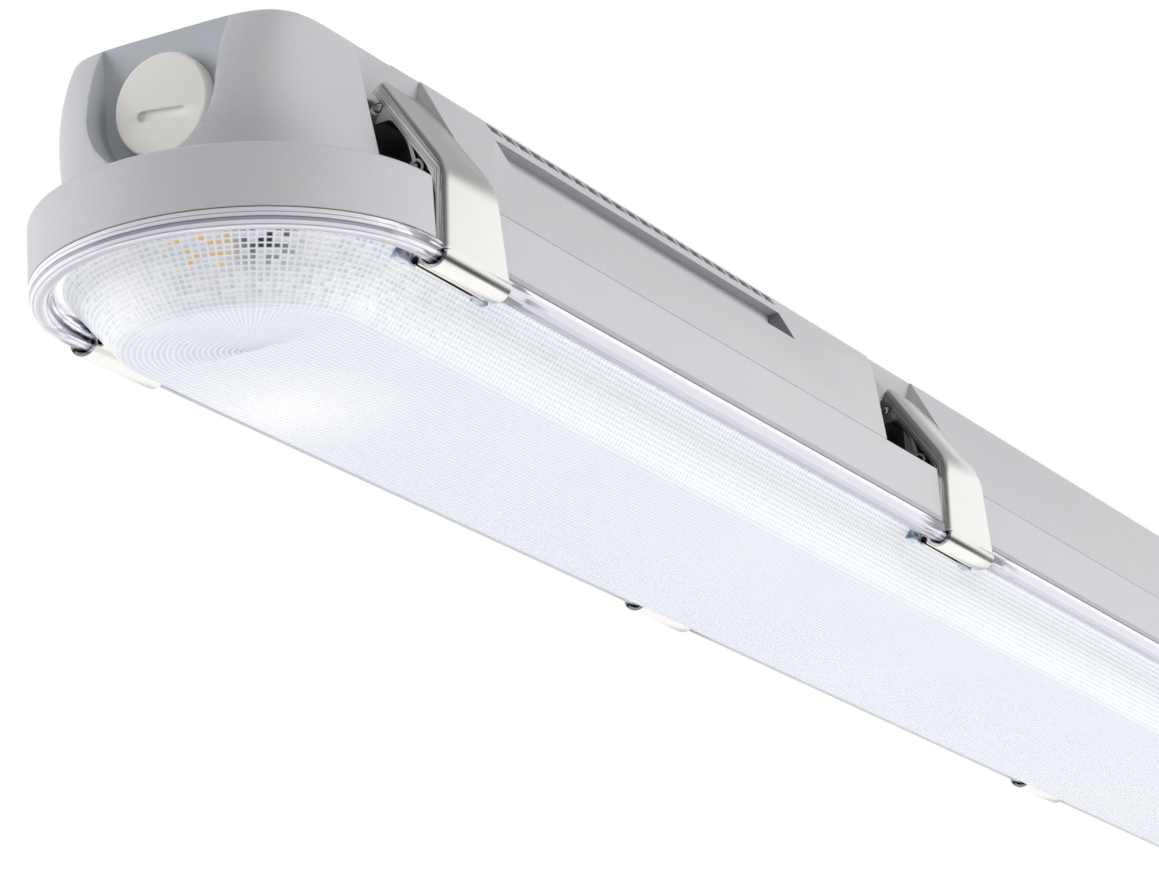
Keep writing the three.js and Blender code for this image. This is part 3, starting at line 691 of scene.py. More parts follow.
def grained(name, colours, rough, cloud_scale=50, grain_scale=1400, bump=(0.15, 0.0001)):
    """Fine-grained material that drifts between two colours and two roughnesses."""
    made = Shader(name, shade(*colours[0]), rough[0])
    grain = made.noise(grain_scale, detail=2)
    made.colour(made.mixed(made.noise(cloud_scale, detail=2), *shades(colours)))
    made.roughness(made.drift(grain, *rough))
    made.bump(grain, *bump)
    return made.material


def housing_material():
    """Grey moulding with painted shade in its corners, and darker along the foot of the straight skirt."""
    made = Shader("moulded_grey_plastic", shade(205, 205, 208), 0.5)
    made.give({"Specular IOR Level": 0.42})
    grain = made.noise(scale=2200, detail=2)
    base = made.mixed(made.noise(scale=9, detail=3), *shades(housing_colours))
    toned = made.mixed(1.0, base, made.between(grain, 0.35, 0.65, 0.955, 1.0), "MULTIPLY")
    # Painted shade: the colour darkens where corners and creases close in, to near black deep in the
    # pockets
    unshaded_share = made.occlusion(corner_shade_reach)
    toned = made.mixed(1.0, toned, made.between(unshaded_share, 0.25, 0.9, 0.84, 1.0), "MULTIPLY")
    toned = made.mixed(made.between(unshaded_share, 0.02, 0.16), shade(*corner_shade_colour), toned)
    x, _y, z = made.axes(made.place)
    band_top = skirt_bottom_z + skirt_band_height
    low = made.between(z, band_top * MM, (band_top + skirt_band_edge) * MM, 1.0, 0.0)
    fade_start = last_latch_x - skirt_band_fade
    straight = made.between(made.math("ABSOLUTE", x), fade_start * MM, last_latch_x * MM, 0.75, 0.0)
    made.colour(made.mixed(made.product(low, straight), toned, shade(*skirt_band_colour)))
    made.roughness(made.drift(made.noise(scale=60, detail=3), low=0.46, high=0.56))
    made.bump(grain, strength=0.25, distance=0.00012)
    return made.material


def prism_cell(made, grid):
    """Chance of its own for each cell of the prism grid."""
    cell = made.node("ShaderNodeVectorMath", operation="FLOOR")
    made.link(grid, cell.inputs[0])
    chance = made.node("ShaderNodeTexWhiteNoise", noise_dimensions="2D")
    made.link(cell.outputs[0], chance.inputs["Vector"])
    return chance.outputs["Value"]


def prism_material():
    """Clear plastic with small prisms inside: a grid along the sides and fans at the ends."""
    made = Shader("prismatic_clear_plastic", shade(240, 244, 252), 0.2)
    made.give({
        "IOR": clear_ior, "Transmission Weight": 0.08, "Specular IOR Level": 0.12,
        "Coat Weight": 0.1, "Coat Roughness": 0.1,
    })
    grid = made.node("ShaderNodeUVMap", uv_map="prisms").outputs["UV"]
    u, v, _w = made.axes(grid)
    across = made.math("PINGPONG", u, 0.5)
    along = made.math("PINGPONG", v, 0.5)
    line_across = made.between(across, *ridge_edge, 1.0, 0.0)
    line_along = made.between(along, *ridge_edge, 1.0, 0.0)
    ridge = made.math("MAXIMUM", line_across, line_along)
    crossing = made.math("MINIMUM", line_across, line_along)
    dots = made.math("MULTIPLY_ADD", crossing, crossing_share, made.product(ridge, 1 - crossing_share))
    luck = prism_cell(made, grid)
    # The flat bottom is milky with faint ribs; the sides show the prisms crisply
    x, _y, z = made.axes(made.place)
    steep = made.between(z, (lens_bottom_z + milk_height) * MM, (lens_bottom_z + lens_corner) * MM)
    out = made.math("ABSOLUTE", x)
    along_side = made.between(out, (end_centre - rim_half) * MM, end_centre * MM, 1.0, 0.0)
    cells = made.mixed(luck, *shades(prism_colours))
    cells = made.mixed(along_side, cells, shade(*straight_prism_colour))
    milk = made.mixed(made.noise(scale=25, detail=2), *shades(milk_colours))
    hollow = made.mixed(steep, milk, cells)
    # Parts of the light engine show through single cells near the end
    for patch, odds, colour in engine_patches:
        chosen = made.product(made.near(*patch), made.math("GREATER_THAN", luck, odds))
        hollow = made.mixed(chosen, hollow, shade(*colour))
    crest = made.mixed(steep, *shades(ridge_colours))
    face = made.mixed(made.between(steep, 0.0, 1.0, dots, ridge), hollow, crest)
    # Painted highlights of the lamps, white with a trace of the grid
    highlight_share = 0.0
    for patch in painted_highlights:
        highlight_share = made.math("MAXIMUM", highlight_share, made.near(*patch))
    made.colour(made.mixed(highlight_share, face, made.mixed(highlight_grid_share, shade(*white), face)))
    made.bump(made.product(across, along), strength=0.6, distance=0.0009)
    return made.material


def clear_material():
    """Clear rim: the light is bent into bright and dark lines that follow the moulding."""
    made = Shader("clear_plastic_rim", shade(236, 238, 248), 0.08)
    made.give({"IOR": clear_ior, "Transmission Weight": 0.2})
    x, _y, z = made.axes(made.place)
    wave = made.drift(made.noise(scale=30, detail=2, stretch=(0.4, 1, 1)), -band_wave, band_wave)
    level = made.math("ADD", made.math("DIVIDE", z, MM), wave)
    height = made.between(level, nose_centre_z - nose_radius, rim_top_z)
    side_bands, end_bands = (
        made.ramp(height, [(at, shade(*rgb)) for at, rgb in stops])
        for stops in (side_rim_bands, end_rim_bands)
    )
    at_end = made.between(made.math("ABSOLUTE", x), last_latch_x * MM, end_centre * MM)
    bands = made.mixed(at_end, side_bands, end_bands)
    # Painted shade: dark streaks beside each hook, where the shaded latch pockets show through the rim
    run = made.math("ADD", made.math("DIVIDE", x, MM), last_latch_x + 2 * latch_pitch)
    beside = made.between(made.math("PINGPONG", run, latch_pitch / 2), *streak_reach, 1.0, 0.0)
    fibres = made.noise(scale=700, detail=2, stretch=(0.07, 1, 1))
    dark = made.product(beside, made.between(fibres, 0.47, 0.53))
    made.colour(made.mixed(dark, bands, shade(*pocket_shade_streak_colour)))
    streaks = made.noise(scale=40, detail=3, stretch=(0.05, 1, 8))
    made.roughness(made.drift(streaks, low=0.05, high=0.14))
    made.bump(streaks, strength=0.2, distance=0.0003)
    return made.material


def lug_material():
    """Clear plastic with bluish streaks."""
    made = Shader("clear_plastic_lug", shade(206, 222, 244), 0.1)
    made.give({"IOR": clear_ior, "Transmission Weight": 0.3})
    streaks = made.noise(scale=260, detail=2)
    made.colour(made.mixed(made.between(streaks, 0.42, 0.6), *shades(lug_colours)))
    made.roughness(made.drift(streaks, low=0.06, high=0.16))
    return made.material


def pressed_lines(made, y, z):
    """One on the fine lines pressed along the flanges of the lever."""
    fall = (Vector(lever_bend) - Vector(lever_top)).normalized()
    start = Vector(lever_top).dot(Vector((fall.y, -fall.x)))
    upper = made.math("ADD", made.product(y, fall.y), made.product(z, -fall.x))
    upper = made.math("SUBTRACT", upper, start * MM)
    lower = made.math("SUBTRACT", (nose_centre_r + hook_radius) * MM, y)
    depth = made.math("DIVIDE", made.math("MINIMUM", upper, lower), MM)
    pressed = 0.0
    for line in flange_lines:
        gap = made.math("ABSOLUTE", made.math("SUBTRACT", depth, line))
        pressed = made.math("MAXIMUM", pressed, made.between(gap, *flange_line_edge, 1.0, 0.0))
    above_hook = made.math("GREATER_THAN", z, (skirt_bottom_z + flange_foot_depth) * MM)
    return made.product(pressed, above_hook)


def hook_line(made, y, z):
    """One on the dark line of the room that the bend of the hook mirrors."""
    out = made.math("SUBTRACT", y, nose_centre_r * MM)
    fall_share = made.math("DIVIDE", made.math("SUBTRACT", nose_centre_z * MM, z), out)
    gap = made.math("ABSOLUTE", made.math("SUBTRACT", fall_share, hook_line_fall))
    on_bend = made.math("GREATER_THAN", out, hook_radius * MM / 2)
    return made.product(made.between(gap, *hook_line_edge, hook_line_share, 0.0), on_bend)


def lever_steel():
    """Satin steel, with pressed lines on the flanges and a painted reflection of a dark line along the
    hook.
    """
    made = Shader("satin_stainless", shade(226, 224, 220), 0.3, 1.0)
    _x, y, z = made.axes(made.place)
    pressed = pressed_lines(made, y, z)
    brushed = made.noise(scale=4000, detail=2, stretch=(1, 0.05, 0.05))
    plain = made.mixed(made.noise(scale=30, detail=2), *shades(lever_colours))
    plain = made.mixed(hook_line(made, y, z), plain, shade(*hook_reflection_colour))
    made.colour(made.mixed(made.product(pressed, 0.5), plain, shade(*pressed_colour)))
    made.roughness(made.drift(brushed, low=0.18, high=0.24))
    made.bump(made.math("MULTIPLY_ADD", brushed, 0.02, pressed), strength=0.3, distance=0.00008)
    return made.material


def bright_steel():
    """Drawn steel with brighter worn spots."""
    made = Shader("bright_stainless_wire", shade(190, 190, 192), 0.16, 1.0)
    worn = made.noise(scale=500, detail=3)
    made.roughness(made.drift(worn, low=0.12, high=0.26))
    made.colour(made.mixed(worn, *shades(wire_colours)))
    return made.material


def rubber():
    """Black rubber of the seals."""
    made = Shader("black_rubber", shade(38, 38, 40), 0.8)
    grain = made.noise(scale=900, detail=4)
    made.colour(made.mixed(grain, *shades(rubber_colours)))
    made.bump(grain, strength=0.3, distance=0.0002)
    return made.material


def board_material():
    """White circuit board whose lamps show a yellow phosphor face."""
    made = Shader("led_board_white", shade(240, 240, 234), 0.4)
    _x, _y, z = made.axes(made.place)
    lamp_face = made.math("LESS_THAN", z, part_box("led_board_1")[0].z + lamp_face_depth * MM)
    speck = made.noise(scale=300, detail=2)
    board = made.mixed(speck, *shades(board_colours))
    made.colour(made.mixed(lamp_face, board, shade(*phosphor_colour)))
    made.bump(speck, strength=0.1, distance=0.0001)
    return made.material


# Housing


def neck_plan(z, margin):
    """Plan outline of the upper body at a level, grown all round by a margin."""
    share = min(-z / -ledge_z, 1)
    reach = neck_foot_reach - (neck_foot_reach - neck_top_reach) * (1 - share) ** neck_reach_power
    squareness = neck_top_squareness + (neck_foot_squareness - neck_top_squareness) * share
    return square_ended(neck_half_width - z * neck_draft + margin, reach + margin, squareness)


def spread(low, high, steps):
    """Values from low to high in equal steps, both ends included."""
    return [low + (high - low) * i / steps for i in range(steps + 1)]


def neck():
    """Upper body, with a soft top edge and a fillet at the ledge."""
    levels = []
    for turn in spread(0, math.pi / 2, fillet_segments):
        z = ledge_z + neck_fillet * (1 - math.cos(turn))
        levels.append((neck_plan(z, neck_fillet * (1 - math.sin(turn))), z))
    for z in spread(ledge_z + neck_fillet, -neck_edge, neck_steps)[1:]:
        levels.append((neck_plan(z, 0), z))
    for turn in spread(0, math.pi / 2, fillet_segments)[1:]:
        z = -neck_edge * (1 - math.sin(turn))
        levels.append((neck_plan(z, -neck_edge * (1 - math.cos(turn))), z))
    return loft("moulded_housing", levels)


def skirt():
    """Straight skirt with a soft upper edge."""
    top_r = rim_half - skirt_draft
    levels = [(stadium(top_r), skirt_bottom_z), (stadium(rim_half), skirt_bottom_z + skirt_draft)]
    for turn in spread(0, math.pi / 2, fillet_segments):
        r = top_r - skirt_edge_radius * (1 - math.cos(turn))
        levels.append((stadium(r), ledge_z - skirt_edge_radius * (1 - math.sin(turn))))
    return loft("skirt", levels)


def panels():
    """Sloping upper sides, with the parting line at the ledge."""
    bottom_half = rim_half - skirt_draft
    groove_top = ledge_z + parting_groove_height / 2
    groove_bottom = ledge_z - parting_groove_height / 2
    half = [
        (top_half, 0),
        (bottom_half, groove_top),
        (bottom_half - parting_groove, ledge_z),
        (bottom_half, groove_bottom),
        (bottom_half, ledge_z - skirt_edge_radius - parting_groove),
    ]
    outline = [(-y, z) for y, z in half] + half[::-1]
    return prism("panels", outline, -last_latch_x, last_latch_x)


def cavity():
    """Hollow of the housing, clear of the pockets, slots and entries."""
    floor_z = ledge_z - rim_floor_thickness
    section = rectangle(-cavity_half_width, cavity_half_width, floor_z - overrun, -wall)
    middle = prism("cavity", section, -end_centre - wall, end_centre + wall)
    ends = loft("cavity_ends", [
        (neck_plan(z, -wall), z) for z in spread(floor_z - overrun, -wall - neck_edge, neck_steps)
    ])
    reach = last_latch_x + pocket_half_width + wall
    section = rectangle(-far_out, far_out, floor_z - far_out, overrun)
    bar = prism("bar", section, -reach, reach)
    ends = combine(ends, [bar, *[entry_prism(end, wall) for end in SIDES]], "DIFFERENCE")
    plan = stadium(cavity_rim_r)
    tray = loft("cavity_tray", [(plan, skirt_bottom_z - overrun), (plan, floor_z)])
    return combine(middle, [ends, tray, *side_hollows()], "UNION")


def flare_past(x, end):
    """How far a latch pocket flares out past its width towards one end of the fixture."""
    return pocket_flare if 0 < end * x < last_latch_x else 0


def side_hollows():
    """Hollows between the latch pockets, under the bracket slots."""
    roof_z = slot_floor_z - wall
    floor_z = ledge_z - rim_floor_thickness
    outline = [
        (cavity_half_width - wall, roof_z), (side_half(roof_z) - wall, roof_z),
        (rim_half - skirt_draft - wall - wall, ledge_z), (cavity_rim_r, floor_z - wall),
        (cavity_half_width - wall, floor_z - wall),
    ]
    reach = pocket_half_width + wall
    made = []
    for x, after in zip(latch_xs, latch_xs[1:]):
        start = x + reach + flare_past(x, 1)
        stop = after - reach - flare_past(after, -1)
        made += [prism("side_hollow", mirrored(outline, side), start, stop) for side in SIDES]
    return made


def entry_prism(end, grow):
    """Recess in an end of the housing, round at its foot and open at the top."""
    half = entry_half_width + grow
    outline = [(half, overrun), *arc(0, entry_z, half, 0, -180, round_segments), (-half, overrun)]
    return end_cut("entry_recess", end, outline, entry_face_x - grow, entry_face_x + rim_half)


def entry_cylinder(end, radius, start, stop):
    """Cylinder on the axis of an entry."""
    return end_cut("entry_bore", end, circle(0, entry_z, radius, round_segments), start, stop)


def latch_pocket(x, side):
    """Pocket in the sloping side, wider towards the nearer end of the fixture."""
    top_y = top_half - pocket_top_depth
    outline = [
        (top_y, overrun), (top_y, 0), (pocket_back_y, pocket_elbow_z),
        (pocket_back_y, ledge_z), (far_out, ledge_z), (far_out, overrun),
    ]
    return prism("pocket", mirrored(outline, side), *beside_latch(x, pocket_inner_half))


def pocket_flare_cut(x, side):
    """Slanting end of a pocket on the side of the nearer end."""
    end = math.copysign(1, x)
    start = x + end * (pocket_half_width - overrun / 2)
    edge = x + end * pocket_half_width
    foot = edge + end * pocket_flare
    top_z = -pocket_flare_top_depth
    outline = [(start, top_z), (edge, top_z), (foot, ledge_z), (start, ledge_z)]
    return side_cut("flare", outline, side, pocket_back_y)


def latch_recess_cut(x, side):
    """Shallow recess in the skirt below the pocket, as wide as the lever."""
    top_start, top_stop = beside_latch(x, pocket_inner_half)
    foot_start, foot_stop = beside_latch(x, recess_inner_half)
    foot_z = skirt_bottom_z - overrun
    bend_z = lever_bend[1]
    outline = [
        (foot_start, foot_z), (foot_stop, foot_z), (foot_stop, nose_centre_z),
        (top_stop, bend_z), (top_start, bend_z), (foot_start, nose_centre_z),
    ]
    return side_cut("recess", outline, side, rim_half - latch_recess)


def beside_latch(x, inner_half):
    """Span of a cut at a latch, wide towards the nearer end and as given on the other side."""
    start = x - (pocket_half_width if x < 0 else inner_half)
    stop = x + (pocket_half_width if x > 0 else inner_half)
    return start, stop


def latch_post(x, side):
    """Round-headed post that holds the housing pin."""
    foot = pocket_back_y - wall / 2
    outline = [
        (foot, ledge_z - wall / 2), (housing_pin[0] + post_radius, ledge_z - wall / 2),
        *arc(*housing_pin, post_radius, 0, 180, small_segments // 2),
        (housing_pin[0] - post_radius, ledge_z + post_radius), (foot, ledge_z + post_radius),
    ]
    return prism("post", mirrored(outline, side), x - post_half_width, x + post_half_width)


def latch_post_bore(x, side):
    """Hole for the housing pin."""
    outline = circle(*housing_pin, pin_radius + fit_gap, small_segments)
    reach = post_half_width + overrun
    return prism("post_bore", mirrored(outline, side), x - reach, x + reach)


def bracket_slot(end, side):
    """Long slot in a sloping side, for a mounting bracket."""
    outline = rectangle(slot_back_y, far_out, slot_floor_z, slot_ceiling_z)
    centre = end * slot_centre_x
    return prism("slot", mirrored(outline, side), centre - slot_length / 2, centre + slot_length / 2)


def rail_notches(end, side):
    """Leaning notches of the toothed rail above a bracket slot."""
    face_y = side_half(notch_floor_z) - notch_cut
    first = end * slot_centre_x - (notches_per_rail - 1) / 2 * notch_pitch
    made = []
    for i in range(notches_per_rail):
        x = first + i * notch_pitch - notch_length / 2
        outline = [
            (x, notch_top_z), (x + notch_length, notch_top_z),
            (x + notch_length + notch_lean, notch_floor_z), (x + notch_lean, notch_floor_z),
        ]
        made.append(side_cut("notch", outline, side, face_y))
    return made


def seal_channel():
    """Channel that takes the gasket and the tongue of the cover."""
    return ring("channel", [
        (channel_inner_r, skirt_bottom_z - overrun), (channel_outer_r, skirt_bottom_z - overrun),
        (channel_outer_r, channel_roof_z), (channel_inner_r, channel_roof_z),
    ])


def lip_trim():
    """Cuts the channel's inner wall back to its height."""
    plan = stadium(channel_outer_r)
    return loft("lip_trim", [(plan, skirt_bottom_z - overrun), (plan, inner_lip_z)])


def in_latch_pocket(point):
    """Whether a point lies in the pocket of a latch."""
    for x in latch_xs:
        start, stop = beside_latch(x, pocket_inner_half)
        if start - flare_past(x, -1) < point.x < stop + flare_past(x, 1) and point.z > ledge_z:
            return True
    return False


def on_pocket_back(point, normal):
    """Whether a face belongs to the upright back of a pocket."""
    flush = abs(abs(point.y) - pocket_back_y) < fit_gap
    return flush and abs(normal.y) > facing_roughly and point.z < pocket_elbow_z


def on_latch_post(point):
    """Whether a point lies on a post that holds a housing pin."""
    beside = any(abs(point.x - x) < post_half_width + fit_gap for x in latch_xs)
    return beside and abs(point.y) > pocket_back_y and point.z < housing_pin[1] + post_radius + fit_gap


def in_pocket_depth(point, normal):
    """Whether a face lies deep in a pocket, where painted shade goes."""
    return in_latch_pocket(point) and (on_pocket_back(point, normal) or on_latch_post(point))


def in_entry_recess(point, normal):
    """Whether a face belongs to the recess round an entry, which gets a painted reflection."""
    in_outline = math.hypot(point.y, min(point.z - entry_z, 0)) < entry_half_width + fit_gap
    outside = abs(point.x) > entry_face_x - fit_gap and point.z > ledge_z
    return in_outline and outside and normal.z < facing


def on_slot_back(point, normal):
    """Whether a face is the back of a bracket slot, which gets painted light."""
    flush = abs(abs(point.y) - slot_back_y) < fit_gap and slot_floor_z < point.z < slot_ceiling_z
    return flush and abs(normal.y) > facing and abs(abs(point.x) - slot_centre_x) < slot_length / 2


def on_slot_end(point, normal):
    """Whether a face is an end of a bracket slot, which gets painted shade."""
    inside = abs(point.y) > slot_back_y - fit_gap and slot_floor_z < point.z < slot_ceiling_z
    off_end = abs(abs(abs(point.x) - slot_centre_x) - slot_length / 2)
    return inside and abs(normal.x) > facing and off_end < slot_end_slack


def each(name, maker, places, *sizes):
    """One object of the solids that a function makes at several places."""
    return joined(name, [maker(*place, *sizes) for place in places])


def housing():
    """The whole moulding, cut and finished."""
    at_latches = [(x, side) for x in latch_xs for side in SIDES]
    at_inner_latches = [(x, side) for x, side in at_latches if 0 < abs(x) < last_latch_x]
    corners = [(end, side) for end in SIDES for side in SIDES]
    ends = [(end,) for end in SIDES]
    boss_start = entry_face_x - entry_boss_length
    bore_start = entry_face_x - rim_half
    bosses = [entry_cylinder(end, entry_boss_radius, boss_start, entry_face_x) for end in SIDES]
    body = combine(neck(), [skirt(), panels()], "UNION")
    combine(body, [cavity()], "DIFFERENCE")
    combine(body, bosses, "UNION")
    combine(body, [
        seal_channel(),
        lip_trim(),
        each("pockets", latch_pocket, at_latches),
        each("flares", pocket_flare_cut, at_inner_latches),
        each("latch_recesses", latch_recess_cut, at_latches),
        each("slots", bracket_slot, corners),
        joined("notches", [notch for corner in corners for notch in rail_notches(*corner)]),
        each("recesses", entry_prism, ends, 0),
        each("bores", entry_cylinder, ends, entry_bore_radius, bore_start, entry_face_x + overrun),
    ], "DIFFERENCE")
    combine(body, [each("posts", latch_post, at_latches)], "UNION")
    combine(body, [each("post_bores", latch_post_bore, at_latches)], "DIFFERENCE")
    bevelled(body, width=0.4, angle=40)
    smooth(body, angle=30)
    body.data.materials.append(housing_material())
    # Painted reflection: a cooler, darker grey on the faces of each entry recess
    recess_name = "recess_painted_reflection"
    recess = grained(recess_name, recess_reflection_colours, recess_rough, cloud_scale=14, grain_scale=2600)
    # Painted shade: a near-black grey on the deep faces of the latch pockets
    pocket = grained("pocket_painted_shade", pocket_shade_colours, pocket_rough)
    # Painted light: a paler grey on the backs of the bracket slots, which lie in shade
    slot_back = grained("slot_back_painted_light", slot_back_light_colours, matt_rough)
    # Painted shade: a darker grey on the ends of the bracket slots
    slot_end = grained("slot_end_painted_shade", slot_end_shade_colours, matt_rough)
    # Every painted reflection, shade and light above goes on the faces that its test picks
    assigned_materials = (
        (recess, in_entry_recess),
        (pocket, in_pocket_depth),
        (slot_back, on_slot_back),
        (slot_end, on_slot_end),
    )
    for index, (material, covers) in enumerate(assigned_materials, 1):
        body.data.materials.append(material)
        for face in body.data.polygons:
            if covers(face.center / MM, face.normal):
                face.material_index = index
    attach(body, "root")
    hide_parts("housing")
    return body


# Diffuser


def lens_stations():
    """Stations round the fixture: direction, centre and the prism count up to each."""
    stations = []
    count = 0.0
    straight = round(2 * end_centre / prism_pitch)
    for end in (1, -1):
        for i in range(prisms_per_end * 2):
            turn = math.radians((-90 if end > 0 else 90) + 180 * i / (prisms_per_end * 2))
            stations.append((end * end_centre, math.cos(turn), math.sin(turn), count + i / 2))
        count += prisms_per_end
        for i in range(straight_stations):
            x = end * end_centre * (1 - 2 * i / straight_stations)
            stations.append((x, 0.0, float(end), count + straight * i / straight_stations))
        count += straight
    return stations, count


def lens_section():
    """Closed section of (r, z, row count, kind), from the middle of the bottom out and back inside."""
    skin = lens_wall * math.hypot(1, lens_slope)
    tongue_r = channel_inner_r + (channel_width - tongue_width) / 2
    flat_r = lens_bottom_half - lens_corner
    points = [
        (flat_r * row / prism_rows_bottom, lens_bottom_z, float(row), "prisms")
        for row in range(prism_rows_bottom + 1)
    ]
    rise = math.hypot(lens_corner * lens_slope, lens_corner)
    corner_top = (lens_bottom_half + lens_corner * lens_slope, lens_bottom_z + lens_corner)
    for i in range(1, lens_corner_steps):
        t = i / lens_corner_steps
        a = ((1 - t) ** 2, 2 * t * (1 - t), t ** 2)
        r = a[0] * flat_r + a[1] * lens_bottom_half + a[2] * corner_top[0]
        z = (a[0] + a[1]) * lens_bottom_z + a[2] * corner_top[1]
        row = prism_rows_bottom + t * (lens_corner + rise) / corner_prism_pitch
        points.append((r, z, row, "prisms"))
    for i in range(prism_rows_side + 1):
        t = i / prism_rows_side
        r = corner_top[0] + (groove_inner_r - corner_top[0]) * t
        z = corner_top[1] + (groove_roof_z - corner_top[1]) * t
        points.append((r, z, prism_rows_bottom + 1.0 + i, "prisms"))
    rim = [(groove_outer_r - groove_corner, groove_roof_z)]
    rim += arc(nose_centre_r, nose_centre_z, nose_radius, -180, 0, nose_segments)
    rim += [
        (rim_half, rim_top_z),
        (channel_outer_r - fit_gap, rim_top_z), (channel_outer_r - fit_gap, web_top_z),
        (tongue_r + tongue_width, web_top_z), (tongue_r + tongue_width, tongue_top_z),
        (tongue_r, tongue_top_z), (tongue_r, web_top_z),
    ]
    points += [(r, z, 0.0, "rim") for r, z in rim]
    inside = [
        (groove_inner_r - skin + web_thickness * lens_slope, web_top_z),
        (lens_bottom_half + lens_wall * lens_slope - skin, lens_bottom_z + lens_wall),
        (0.0, lens_bottom_z + lens_wall),
    ]
    points += [(r, z, 0.0, "inside") for r, z in inside]
    return points


def diffuser():
    """Clear cover: its section carried round the fixture, with the prism grid as its UV map."""
    stations, turns = lens_stations()
    section = lens_section()
    points = [(x + r * cos, r * sin, z) for r, z, *_grid in section for x, cos, sin, _count in stations]
    obj = new_object("prismatic_diffuser", points, side_faces(len(stations), len(section)))
    layer = obj.data.uv_layers.new(name="prisms")
    columns = [count for *_place, count in stations] + [turns]
    faces = iter(obj.data.polygons)
    for (*_point, low, _kind), (*_next, high, kind) in zip(section, section[1:]):
        for start, stop in zip(columns, columns[1:]):
            face = next(faces)
            face.material_index = 1 if kind == "rim" else 0
            for loop, uv in zip(face.loop_indices, rectangle(start, stop, low, high)):
                layer.data[loop].uv = uv
    weld = obj.modifiers.new("weld", "WELD")
    weld.merge_threshold = weld_gap * MM
    settle(obj)
    obj.data.flip_normals()
    obj.data.materials.append(prism_material())
    obj.data.materials.append(clear_material())
    smooth(obj, angle=28)
    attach(obj, "root")
    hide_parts("diffuser")
    return obj


def hook_lugs():
    """Clear lugs in the groove, one past each end of a hook."""
    face = groove_inner_r - hook_lug_inset
    outline = [
        (face, groove_roof_z - hook_lug_inset / lens_slope + running_gap),
        (face - lens_slope * hook_lug_depth, groove_roof_z - hook_lug_depth),
        (face, groove_roof_z - hook_lug_depth),
    ]
    start = lever_foot_half + running_gap
    made = []
    for x in latch_xs:
        for side in SIDES:
            for end in SIDES:
                span = sorted((x + end * start, x + end * (start + hook_lug_length)))
                made.append(prism("lug", mirrored(outline, side), *span))
    obj = joined("hook_lugs", made)
    bevelled(obj, width=0.3, angle=30, segments=3)
    smooth(obj, angle=40)
    obj.data.materials.append(lug_material())
    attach(obj, "root")
    return obj


# Latches


def lever_profile():
    """Outer face of the lever down to the end of the hook, and how many points are above the hook."""
    top = Vector(lever_top)
    bend = Vector(lever_bend)
    face_y = nose_centre_r + hook_radius
    foot = Vector((face_y, nose_centre_z))
    above = (bend - top).normalized()
    below = (foot - bend).normalized()
    tangent = lever_bend_radius * math.tan(above.angle(below) / 2)
    start = bend - above * tangent
    path = [top.lerp(start, share) for share in spread(0, 1, straight_steps)]
    for i in range(1, fillet_segments):
        t = i / fillet_segments
        a = start.lerp(bend, t)
        b = bend.lerp(bend + below * tangent, t)
        path.append(a.lerp(b, t))
    path += [(bend + below * tangent).lerp(foot, share) for share in spread(0, 1, straight_steps)]
    straight_count = len(path)
    for y, z in arc(nose_centre_r, nose_centre_z, hook_radius, 0, -hook_wrap, small_segments)[1:]:
        path.append(Vector((y, z)))
    return path, straight_count


def half_width_at(z):
    """Half of the lever's width at a level."""
    if z > lever_bend[1]:
        share = (lever_top[1] - z) / (lever_top[1] - lever_bend[1])
        return lever_top_half + (lever_bend_half - lever_top_half) * share
    share = min(1, (lever_bend[1] - z) / (lever_bend[1] - nose_centre_z))
    return lever_bend_half + (lever_foot_half - lever_bend_half) * share


def flange_depth(along, bend_at, foot_at):
    """Depth of the side flange at a distance from the top of the lever."""
    if along < flange_end_radius:
        rounding = math.sqrt(1 - (1 - along / flange_end_radius) ** 2)
        return flange_corner_depth + (flange_top_depth - flange_corner_depth) * rounding
    flat_end = 2 * flange_end_radius
    if along < flat_end:
        return flange_top_depth
    if along < flat_end + flange_neck_run:
        swell = (1 + math.cos(math.pi * (along - flat_end) / flange_neck_run)) / 2
        return flange_mid_depth + (flange_top_depth - flange_mid_depth) * swell
    if along < bend_at:
        return flange_mid_depth
    share = (along - bend_at) / (foot_at - bend_at)
    if share < flange_foot_from:
        return flange_mid_depth + (flange_foot_depth - flange_mid_depth) * share / flange_foot_from
    if share < flange_foot_to:
        return flange_foot_depth
    left = max(0.0, (1 - share) / (1 - flange_foot_to))
    return lever_fold_radius + (flange_foot_depth - lever_fold_radius) * math.sqrt(1 - (1 - left) ** 2)


